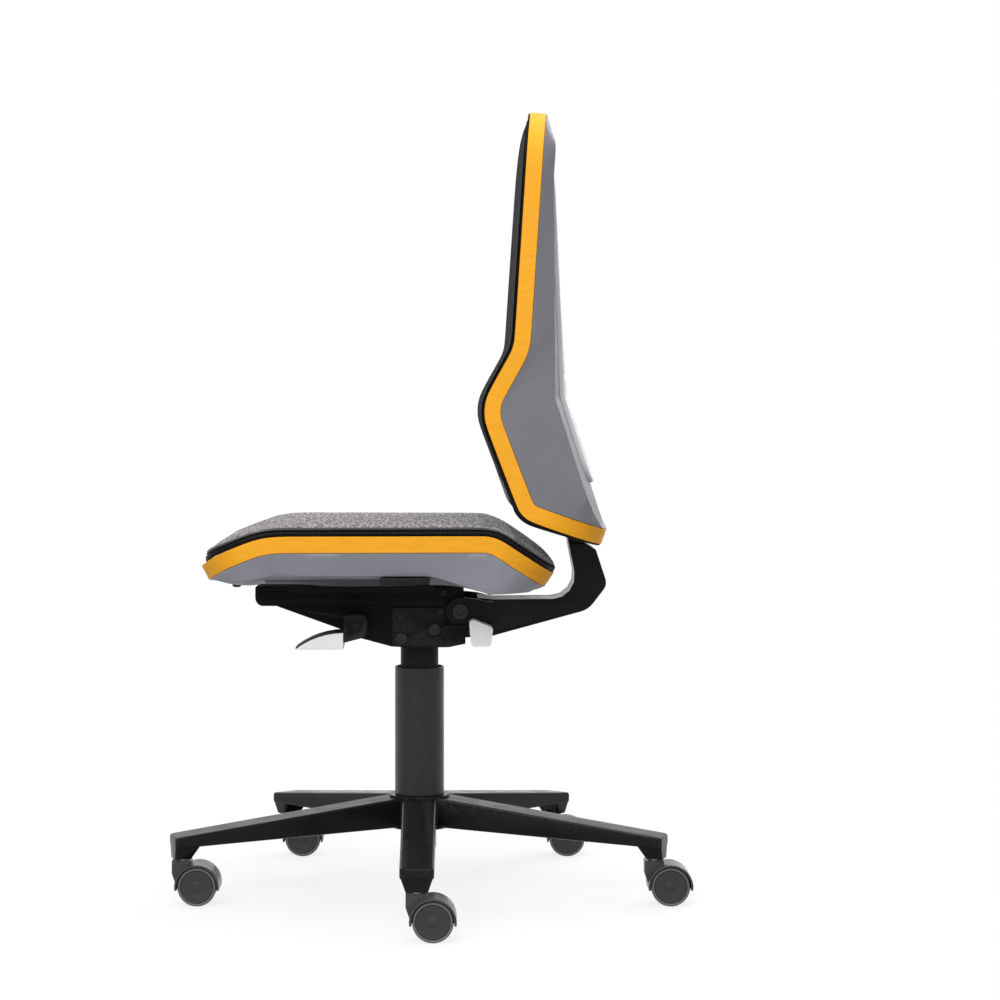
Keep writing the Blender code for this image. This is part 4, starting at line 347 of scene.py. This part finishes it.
def add_piece(name, form, finishes, body, stands_for=()):
    """A new piece in the chair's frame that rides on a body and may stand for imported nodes."""
    mesh = bpy.data.meshes.new(name)
    form.to_mesh(mesh)
    form.free()
    for finish in finishes:
        mesh.materials.append(FINISHES[finish])
    mesh.shade_smooth()
    mesh.set_sharp_from_angle(angle=SOFT_ANGLE)
    piece = bpy.data.objects.new(name, mesh)
    bpy.context.scene.collection.objects.link(piece)
    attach(piece, body)
    if stands_for:
        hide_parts(*stands_for)
    return piece


def merged_copy(node):
    """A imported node's mesh with its loose triangles joined."""
    form = bmesh.new()
    form.from_mesh(NODES[node].data)
    bmesh.ops.remove_doubles(form, verts=form.verts, dist=MERGE)
    for face in form.faces:
        face.material_index = 0
    return form


def even_sides(form):
    """Slides points down the back shell's straight rear edges, so that its sides don't twist at the waist."""
    for vert in form.verts:
        outer = abs(vert.co.x - AXIS.x) > REAR_HALF and vert.co.y > AXIS.y + REAR_EDGE
        if outer and REAR_LOW < vert.co.z < REAR_HIGH:
            down = (vert.co.z - REAR_LOW) * (1 - REAR_SHARE)
            lean = math.copysign(REAR_LEAN * down, vert.co.x - AXIS.x)
            vert.co += Vector((lean, 0, -down))


def eased(node, width, segments=2, finish=None):
    """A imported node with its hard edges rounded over."""
    form = merged_copy(node)
    if node == "back_shell":
        even_sides(form)
    bmesh.ops.dissolve_limit(form, angle_limit=FLAT_ANGLE, verts=form.verts, edges=form.edges)
    slot = SLOT_OF[node]
    piece = add_piece(node + "_eased", form, [finish or slot], BODY_OF[node], [node])
    bevel = piece.modifiers.new("edges", "BEVEL")
    bevel.width = width
    bevel.segments = segments
    bevel.limit_method = "ANGLE"
    bevel.angle_limit = SOFT_ANGLE
    bevel.miter_outer = "MITER_ARC"
    piece.modifiers.new("flats", "WEIGHTED_NORMAL").keep_sharp = False
    return piece


def smoothed_form(node, crease, firm_way=None):
    """A packed panel as quads, its hard edges held by creases, firmly round the side that faces one way."""
    form = merged_copy(node)
    bmesh.ops.join_triangles(
        form,
        faces=form.faces,
        angle_face_threshold=QUAD_BEND,
        angle_shape_threshold=QUAD_SKEW,
    )
    layer = form.edges.layers.float.new("crease_edge")
    for edge in form.edges:
        if edge.calc_face_angle(0.0) > CREASE_ANGLE:
            firm = firm_way and any(face.normal.dot(firm_way) > 0.5 for face in edge.link_faces)
            edge[layer] = FIRM_CREASE if firm else crease
    if node in NOSE:
        blunt_nose(form, AXIS.y + NOSE[node])
    if node == "seat_pad":
        fill_nose(form, AXIS.y + NOSE_LIFT_START, AXIS.y + NOSE[node])
    return form


def blunt_nose(form, front):
    """Slides what lies ahead of a panel's front end back along the seat's front slope."""
    for vert in form.verts:
        ahead = front - vert.co.y
        if ahead > 0:
            back = ahead * (1 - NOSE_SHARE)
            vert.co += Vector((0, back, back * NOSE_SLOPE))


def fill_nose(form, start, front):
    """Thickens the seat pad towards its front end."""
    form.normal_update()
    for vert in form.verts:
        share = (start - vert.co.y) / (start - front)
        if vert.normal.z > FACING and share > 0:
            vert.co.z += NOSE_LIFT * min(1.0, share)


def add_curves(piece, levels):
    """Rounds a piece by subdivision."""
    curves = piece.modifiers.new("curves", "SUBSURF")
    curves.levels = levels
    curves.render_levels = levels
    return curves


def moulded(node, crease):
    """A packed panel drawn out to smooth curves."""
    slot = SLOT_OF[node]
    form = smoothed_form(node, crease)
    piece = add_piece(node + "_moulded", form, [slot], BODY_OF[node], [node])
    add_curves(piece, 2)
    return piece


def paint_shade_on_underside(piece):
    """Paints shade on the seat shell's recessed underside with a darker material."""
    form = bmesh.new()
    form.from_mesh(piece.data)
    everything = [*form.verts, *form.edges, *form.faces]
    bmesh.ops.bisect_plane(form, geom=everything, plane_co=(0, 0, UNDER_TOP), plane_no=(0, 0, 1))
    for face in form.faces:
        spot = face.calc_center_median()
        within = UNDER_FRONT < spot.y - AXIS.y < UNDER_REAR
        face.material_index = 1 if spot.z < UNDER_TOP and within else 0
    form.to_mesh(piece.data)
    form.free()
    piece.data.materials.append(FINISHES["shell_underside_painted_shade"])


def thicken_heel(piece):
    """Draws the back plate out round the heel of the backrest."""
    ways = [Vector((0, vert.normal.y, vert.normal.z)) for vert in piece.data.vertices]
    for vert, way in zip(piece.data.vertices, ways):
        below = (HEEL_TOP - vert.co.z) / HEEL_RAMP
        ahead = (HEEL_REAR - vert.co.y + AXIS.y) / HEEL_RUN
        if way.dot(HEEL_WAY) > FACING:
            vert.co += way.normalized() * HEEL_DRAW * max(0.0, min(1.0, below, ahead))


def evaluated(piece):
    """A piece's mesh with its modifiers worked in."""
    graph = bpy.context.evaluated_depsgraph_get()
    return bpy.data.meshes.new_from_object(piece.evaluated_get(graph))


def swollen_pad(node, finish, back_way, swell, sink, border):
    """A pad's cover, started a little small and blown up by cloth simulation, held along its back."""
    form = smoothed_form(node, PAD_CREASE, back_way)
    piece = add_piece(node + "_cover", form, [finish], BODY_OF[node], [node])
    curves = add_curves(piece, 2)
    flat = evaluated(piece)
    piece.modifiers.remove(curves)
    piece.data = flat
    mark_border(flat, back_way, border)
    for vert in [vert for vert in flat.vertices if vert.normal.dot(back_way) < -FACING]:
        vert.co += back_way * sink
    swell_cover(piece, back_way, swell)
    add_curves(piece, 1)


def mark_border(mesh, back_way, border):
    """Notes how far each point lies inside the dark border along the underside and the seat's rear."""
    under = [tuple(face.vertices) for face in mesh.polygons if face.normal.dot(back_way) > 0.5]
    underside = BVHTree.FromPolygons([vert.co for vert in mesh.vertices], under)
    inside = mesh.attributes.new("inside_border", "FLOAT", "POINT")
    for vert in mesh.vertices:
        along = vert.co.y - AXIS.y
        wider = max(0.0, SEAT_FRONT_BORDER - along) * SEAT_FRONT_GROWTH
        reach = underside.find_nearest(vert.co)[3] - border - wider
        if back_way.z < 0:
            reach = min(reach, SEAT_REAR_BORDER - along)
        inside.data[vert.index].value = reach


def swell_cover(piece, back_way, swell):
    """Runs the cloth and keeps its result, with no point moved further than the swell."""
    rest = [vert.co.copy() for vert in piece.data.vertices]
    held = piece.vertex_groups.new(name="held")
    backing = [vert.index for vert in piece.data.vertices if vert.normal.dot(back_way) > FACING]
    held.add(backing, 1.0, "REPLACE")
    cloth = piece.modifiers.new("cover", "CLOTH")
    cloth.settings.vertex_group_mass = held.name
    cloth.settings.use_pressure = True
    cloth.settings.uniform_pressure_force = PAD_PRESSURE
    cloth.settings.effector_weights.gravity = 0.0
    scene = bpy.context.scene
    for number in range(1, PAD_FRAMES + 1):
        scene.frame_set(number)
    blown = evaluated(piece)
    piece.modifiers.remove(cloth)
    scene.frame_set(1)
    for vert, start, end in zip(piece.data.vertices, rest, blown.vertices):
        step = end.co - start
        vert.co = start + step * min(1.0, swell / max(step.length, swell))
    piece.vertex_groups.remove(held)
    bpy.data.meshes.remove(blown)


def turned(profile, steps, axis="Z"):
    """A closed form turned from (radius, height) points, which end on the axis or close on themselves."""
    form = bmesh.new()
    verts = [form.verts.new((radius, 0, height)) for radius, height in profile]
    edges = [form.edges.new(pair) for pair in zip(verts, verts[1:])]
    if profile[0][0] > 0:
        edges.append(form.edges.new((verts[-1], verts[0])))
    bmesh.ops.spin(
        form,
        geom=[*verts, *edges],
        cent=(0, 0, 0),
        axis=(0, 0, 1),
        angle=2 * math.pi,
        steps=steps,
        use_merge=True,
    )
    bmesh.ops.remove_doubles(form, verts=form.verts, dist=MERGE)
    bmesh.ops.recalc_face_normals(form, faces=form.faces)
    if axis == "X":
        bmesh.ops.rotate(form, verts=form.verts, matrix=Matrix.Rotation(math.pi / 2, 3, "Y"))
    return form


def add_tube(node, outer, wall, low, high, lip, finish):
    """A round column tube with rounded lips."""
    profile = [(outer, high - lip), (outer, low + lip), (outer - lip, low), (outer - wall, low)]
    profile += [(outer - wall, high), (outer - lip, high)]
    form = turned(profile, ROUND_STEPS)
    bmesh.ops.translate(form, verts=form.verts, vec=(AXIS.x, AXIS.y, 0))
    add_piece(node + "_turned", form, [finish], BODY_OF[node], [node])


def add_column():
    """Fixed dust tube below, and the sleeve that rises with the seat."""
    cover = COVER_HIGH - COVER_LOW
    add_tube("column_cover_tube", cover.x / 2, 0.002, COVER_LOW.z, COVER_HIGH.z, 0.0008, "column_black")
    low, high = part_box("column_sleeve")
    add_tube("column_sleeve", (high.x - low.x) / 2, 0.0015, low.z, high.z, 0.0006, "black_plastic")


def add_wheel(node, hood):
    """A castor wheel: dark dished disc with a cap, a groove and a paler tread."""
    low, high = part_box(node)
    radius, width = (high.z - low.z) / 2, high.x - low.x
    bore, depth = 0.0034, width * 0.74
    profile = [
        (0, width - 0.0019),
        (0.0060, width - 0.0020),
        (0.0068, width - 0.0024),
        (0.0076, width - 0.0025),
        (0.0086, width - 0.0022),
        (radius * 0.66, width - 0.0020),
        (radius * 0.815, width - 0.0016),
        (radius * 0.830, width - 0.0028),
        (radius * 0.850, width - 0.0028),
        (radius * 0.862, width - 0.0006),
        (radius * 0.92, width),
        (radius * 0.97, width - 0.0009),
        (radius, width - 0.0032),
        (radius, 0.0032),
        (radius * 0.97, 0.0009),
        (radius * 0.90, 0),
        (bore, 0),
        (bore, depth),
        (0, depth),
    ]
    form = turned(profile, WHEEL_STEPS, "X")
    for face in form.faces:
        spot = face.calc_center_median()
        face.material_index = 1 if math.hypot(spot.y, spot.z) > radius * 0.84 else 0
    middle = (low + high) / 2
    hood_low, hood_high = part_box(hood)
    if middle.x > (hood_low.x + hood_high.x) / 2:
        start = low.x
    else:
        start = high.x
        bmesh.ops.scale(form, verts=form.verts, vec=(-1, 1, 1))
        bmesh.ops.reverse_faces(form, faces=form.faces)
    bmesh.ops.translate(form, verts=form.verts, vec=(start, middle.y, middle.z))
    slot = SLOT_OF[node]
    add_piece(node + "_turned", form, [slot, "wheel_tread"], BODY_OF[node], [node])


def add_castors():
    """Wheels and rounded hoods of the five castors."""
    for number in CASTORS:
        hood = f"castor_{number}_hood"
        eased(hood, 0.0008)
        for side in SIDES:
            add_wheel(f"castor_{number}_wheel_{side}", hood)


def add_mechanism():
    """Housing, carrier, bracket and levers with eased edges."""
    eased("star_base", 0.0010, 3, "base_black")
    eased("mechanism_housing", 0.0012)
    eased("seat_carrier", 0.0010)
    eased("seat_slide", 0.0006)
    eased("back_bracket", 0.0030, 3, "base_black")
    eased("back_carriage", 0.0010)
    eased("height_lever_shaft", 0.0010)
    eased("height_lever_paddle", 0.0022, 3)
    eased("tilt_lever_shaft", 0.0010)
    eased("tilt_lever_paddle", 0.0026, 3)
    eased("seat_depth_button", 0.0012)
    seat_panel(eased("back_rear_panel", 0.0012))


def seat_panel(piece):
    """Draws the rear panel's inner face into the back shell, so that no dark gap shows round it."""
    for vert in [vert for vert in piece.data.vertices if vert.normal.y < -FACING]:
        vert.co.y -= PANEL_SEAT


def at_end(face, ends):
    """Whether a face has a point at one of two places along X."""
    return any(abs(vert.co.x - end) < MERGE for vert in face.verts for end in ends)


def add_socket_bolts():
    """Through bolts and the pivot pin with a socket sunk into each head."""
    for node, inset, depth in (
        ("front_through_bolt", 0.0035, 0.0020),
        ("rear_through_bolt", 0.0035, 0.0020),
        ("backrest_pivot_pin", 0.0045, 0.0022),
    ):
        form = merged_copy(node)
        bmesh.ops.dissolve_limit(form, angle_limit=CAP_ANGLE, verts=form.verts, edges=form.edges)
        ends = [corner.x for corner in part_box(node)]
        caps = [face for face in form.faces if abs(face.normal.x) > CAP_FACING and at_end(face, ends)]
        bmesh.ops.inset_individual(form, faces=caps, thickness=inset)
        for face in caps:
            way = -depth if face.normal.x > 0 else depth
            made = bmesh.ops.extrude_discrete_faces(form, faces=[face])
            verts = list({vert for one in made["faces"] for vert in one.verts})
            bmesh.ops.translate(form, verts=verts, vec=(way, 0, 0))
        add_piece(node + "_socket", form, ["black_metal"], BODY_OF[node], [node])


def add_tilt_spring():
    """The tilt spring's coil, as a piece with a mesh of its own."""
    node, joint = "tilt_spring", "push_rod_slide"
    slot = SLOT_OF[node]
    piece = add_piece(node + "_coil", merged_copy(node), [slot], BODY_OF[node], [node])
    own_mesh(piece)


def add_screws():
    """Small sunk screws on both sides of the housing and the carrier."""
    low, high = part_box("mechanism_housing")
    half = (high.x - low.x) / 2
    head = [(0, -0.0004), (0.0015, -0.0004), (0.0017, 0.0007), (0.0032, 0.0007), (0.0037, 0.0002)]
    head += [(0.0037, -0.0015), (0, -0.0015)]
    for side in SIDES:
        for number, (y, z, inset) in enumerate(SCREW_SPOTS):
            form = turned(head, SCREW_STEPS, "X")
            way = 1 if side == "right" else -1
            if way < 0:
                bmesh.ops.rotate(form, verts=form.verts, matrix=Matrix.Rotation(math.pi, 3, "Z"))
            spot = (AXIS.x + way * (half - inset), AXIS.y + y, z)
            bmesh.ops.translate(form, verts=form.verts, vec=spot)
            add_piece(f"screw_{side}_{number + 1}", form, ["black_metal"], "upper")


def add_bumpers():
    """Rubber bumpers under the front of the seat shell."""
    across, along = BUMPER_SPOT
    edge = BUMPER_RADIUS / 3
    profile = [(0, BUMPER_LOW), (BUMPER_RADIUS - edge, BUMPER_LOW), (BUMPER_RADIUS, BUMPER_LOW + edge)]
    profile += [(BUMPER_RADIUS, BUMPER_TOP), (0, BUMPER_TOP)]
    for side, way in (("left", -1), ("right", 1)):
        form = turned(profile, BUMPER_STEPS)
        bmesh.ops.translate(form, verts=form.verts, vec=(AXIS.x + way * across, AXIS.y + along, 0))
        add_piece(f"seat_bumper_{side}", form, ["black_plastic"], "seat")


def add_paddle_painted_shade():
    """A dark strip of painted shade along the upper edge of the height lever's paddle."""
    node = "height_lever_paddle"
    low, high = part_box(node)
    tops = {}
    for vert in NODES[node].data.vertices:
        if abs(vert.co.x - high.x) < MERGE:
            y = round(vert.co.y, 5)
            tops[y] = max(tops.get(y, 0), vert.co.z)
    line = [Vector((0, y, tops[y])) for y in sorted(tops)]
    left, right = low.x - PADDLE_SHADE_SIDE, high.x + PADDLE_SHADE_SIDE
    form = bmesh.new()
    rows = []
    for before, spot, after in zip([line[0], *line], line, [*line[1:], line[-1]]):
        along = (after - before).normalized()
        inwards = Vector((0, along.z, -along.y)) * PADDLE_SHADE_DEPTH
        lift = -inwards * PADDLE_SHADE_LIFT
        upper, lower = spot + lift, spot + inwards
        ring = [(left, upper), (right, upper), (right, lower), (left, lower)]
        rows.append([form.verts.new((x, corner.y, corner.z)) for x, corner in ring])
    for a, b in zip(rows, rows[1:]):
        for k in range(4):
            form.faces.new((a[k], a[(k + 1) % 4], b[(k + 1) % 4], b[k]))
    form.faces.new(rows[0])
    form.faces.new(rows[-1])
    bmesh.ops.recalc_face_normals(form, faces=form.faces)
    add_piece(node + "_trim", form, ["black_plastic"], BODY_OF[node])


def dress_plain_nodes():
    """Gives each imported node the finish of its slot."""
    for node, packed in NODES.items():
        packed.data.materials.clear()
        packed.data.materials.append(FINISHES[SLOT_OF[node]])


def add_softbox(name, place, target, size, power):
    """A soft light aimed at a point."""
    lamp = bpy.data.lights.new(name, "AREA")
    lamp.shape = "RECTANGLE"
    lamp.size, lamp.size_y = size
    lamp.energy = power
    made = bpy.data.objects.new(name, lamp)
    made.location = place
    made.rotation_euler = (Vector(target) - Vector(place)).to_track_quat("-Z", "Y").to_euler()
    bpy.context.scene.collection.objects.link(made)


def floor_paint():
    """Pale paint that keeps the chair's shadow, and fades into the white surroundings further out."""
    finish = Finish("floor_paint", specular=0.1)
    path = finish.node("ShaderNodeLightPath")
    seen = finish.sums("MAXIMUM", path.outputs["Is Camera Ray"], path.outputs["Is Glossy Ray"])
    seen = finish.sums("MAXIMUM", seen, path.outputs["Is Transmission Ray"])
    pale = finish.mixed(finish.ranged(finish.noise(3.0), 0, 1), (0.92, 0.92, 0.92), (0.95, 0.95, 0.95))
    finish.colour(finish.mixed(seen, FLOOR_BOUNCE, pale))
    finish.rough(finish.ranged(finish.noise(20.0), 0.8, 0.9))
    away = finish.node("ShaderNodeVectorMath", operation="LENGTH")
    finish.link(finish.place, away.inputs[0])
    share = finish.sums("MULTIPLY", finish.ranged(away.outputs["Value"], FLOOR_GLOW, 1, 0.35, 1.1), seen)
    glow = finish.node("ShaderNodeEmission")
    both = finish.node("ShaderNodeMixShader")
    finish.link(share, both.inputs[0])
    finish.link(finish.shader.outputs["BSDF"], both.inputs[1])
    finish.link(glow.outputs["Emission"], both.inputs[2])
    finish.link(both.outputs["Shader"], finish.tree.nodes["Material Output"].inputs["Surface"])
    return finish.made


def add_studio():
    """Pale floor, white surroundings and soft lights."""
    form = bmesh.new()
    bmesh.ops.create_grid(form, x_segments=1, y_segments=1, size=9.0)
    mesh = bpy.data.meshes.new("floor")
    form.to_mesh(mesh)
    form.free()
    floor = bpy.data.objects.new("floor", mesh)
    bpy.context.scene.collection.objects.link(floor)
    mesh.materials.append(floor_paint())
    add_world()
    middle = (AXIS.x, AXIS.y, 0.45)
    add_softbox("camera_side_softbox", (AXIS.x + 2.6, AXIS.y - 0.9, 1.9), middle, (2.2, 1.6), 54.0)
    add_softbox("far_side_softbox", (AXIS.x - 1.9, AXIS.y + 1.9, 1.9), middle, (2.0, 1.6), 34.0)
    add_softbox("top_softbox", (AXIS.x, AXIS.y, 2.9), middle, (2.4, 2.4), 42.0)


def add_world():
    """White all round to the camera and in reflections, and an even fill for the rest."""
    world = bpy.data.worlds.new("studio")
    world.use_nodes = True
    bpy.context.scene.world = world
    tree = world.node_tree
    glow = tree.nodes["Background"]
    glow.inputs["Color"].default_value = (1, 1, 1, 1)
    path = tree.nodes.new("ShaderNodeLightPath")
    seen = path.outputs["Is Camera Ray"]
    for name in ("Is Glossy Ray", "Is Transmission Ray"):
        larger = tree.nodes.new("ShaderNodeMath")
        larger.operation = "MAXIMUM"
        tree.links.new(seen, larger.inputs[0])
        tree.links.new(path.outputs[name], larger.inputs[1])
        seen = larger.outputs[0]
    level = tree.nodes.new("ShaderNodeMapRange")
    level.inputs["To Min"].default_value = FILL_LEVEL
    level.inputs["To Max"].default_value = 1.0
    tree.links.new(seen, level.inputs["Value"])
    tree.links.new(level.outputs["Result"], glow.inputs["Strength"])


def add_camera():
    """The camera at the photo's place beside the chair."""
    lens = bpy.data.cameras.new("camera")
    lens.lens = CAMERA_LENS
    lens.sensor_width = 36.0
    made = bpy.data.objects.new("camera", lens)
    made.location = (AXIS.x + CAMERA_AWAY, AXIS.y + CAMERA_BACK, CAMERA_HEIGHT)
    made.rotation_euler = (math.pi / 2, 0, math.pi / 2)
    lens.shift_x, lens.shift_y = FRAME_SHIFT
    bpy.context.scene.collection.objects.link(made)
    bpy.context.scene.camera = made


def main():
    bpy.context.scene.view_settings.view_transform = "Standard"
    add_camera()
    add_studio()
    dress_plain_nodes()
    add_column()
    add_castors()
    add_mechanism()
    add_socket_bolts()
    add_tilt_spring()
    add_screws()
    add_bumpers()
    add_paddle_painted_shade()
    paint_shade_on_underside(moulded("seat_shell", SHELL_CREASE))
    eased("back_shell", 0.0012, 2, "back_shell_grey")
    for node in ("seat_band", "back_band"):
        moulded(node, BAND_CREASE)
    moulded("seat_pad_plate", PLATE_CREASE)
    thicken_heel(moulded("back_pad_plate", PLATE_CREASE))
    # One fabric on both pads: the seat cover's paler cloth carries painted light, the back cover's darker
    # cloth painted shade
    swollen_pad("seat_pad", "charcoal_fabric", Vector((0, 0, -1)), SEAT_SWELL, SEAT_SINK, SEAT_BORDER)
    swollen_pad("back_pad", "back_weave_painted_shade", Vector((0, 1, 0)), BACK_SWELL, BACK_SINK, BACK_BORDER)


main()
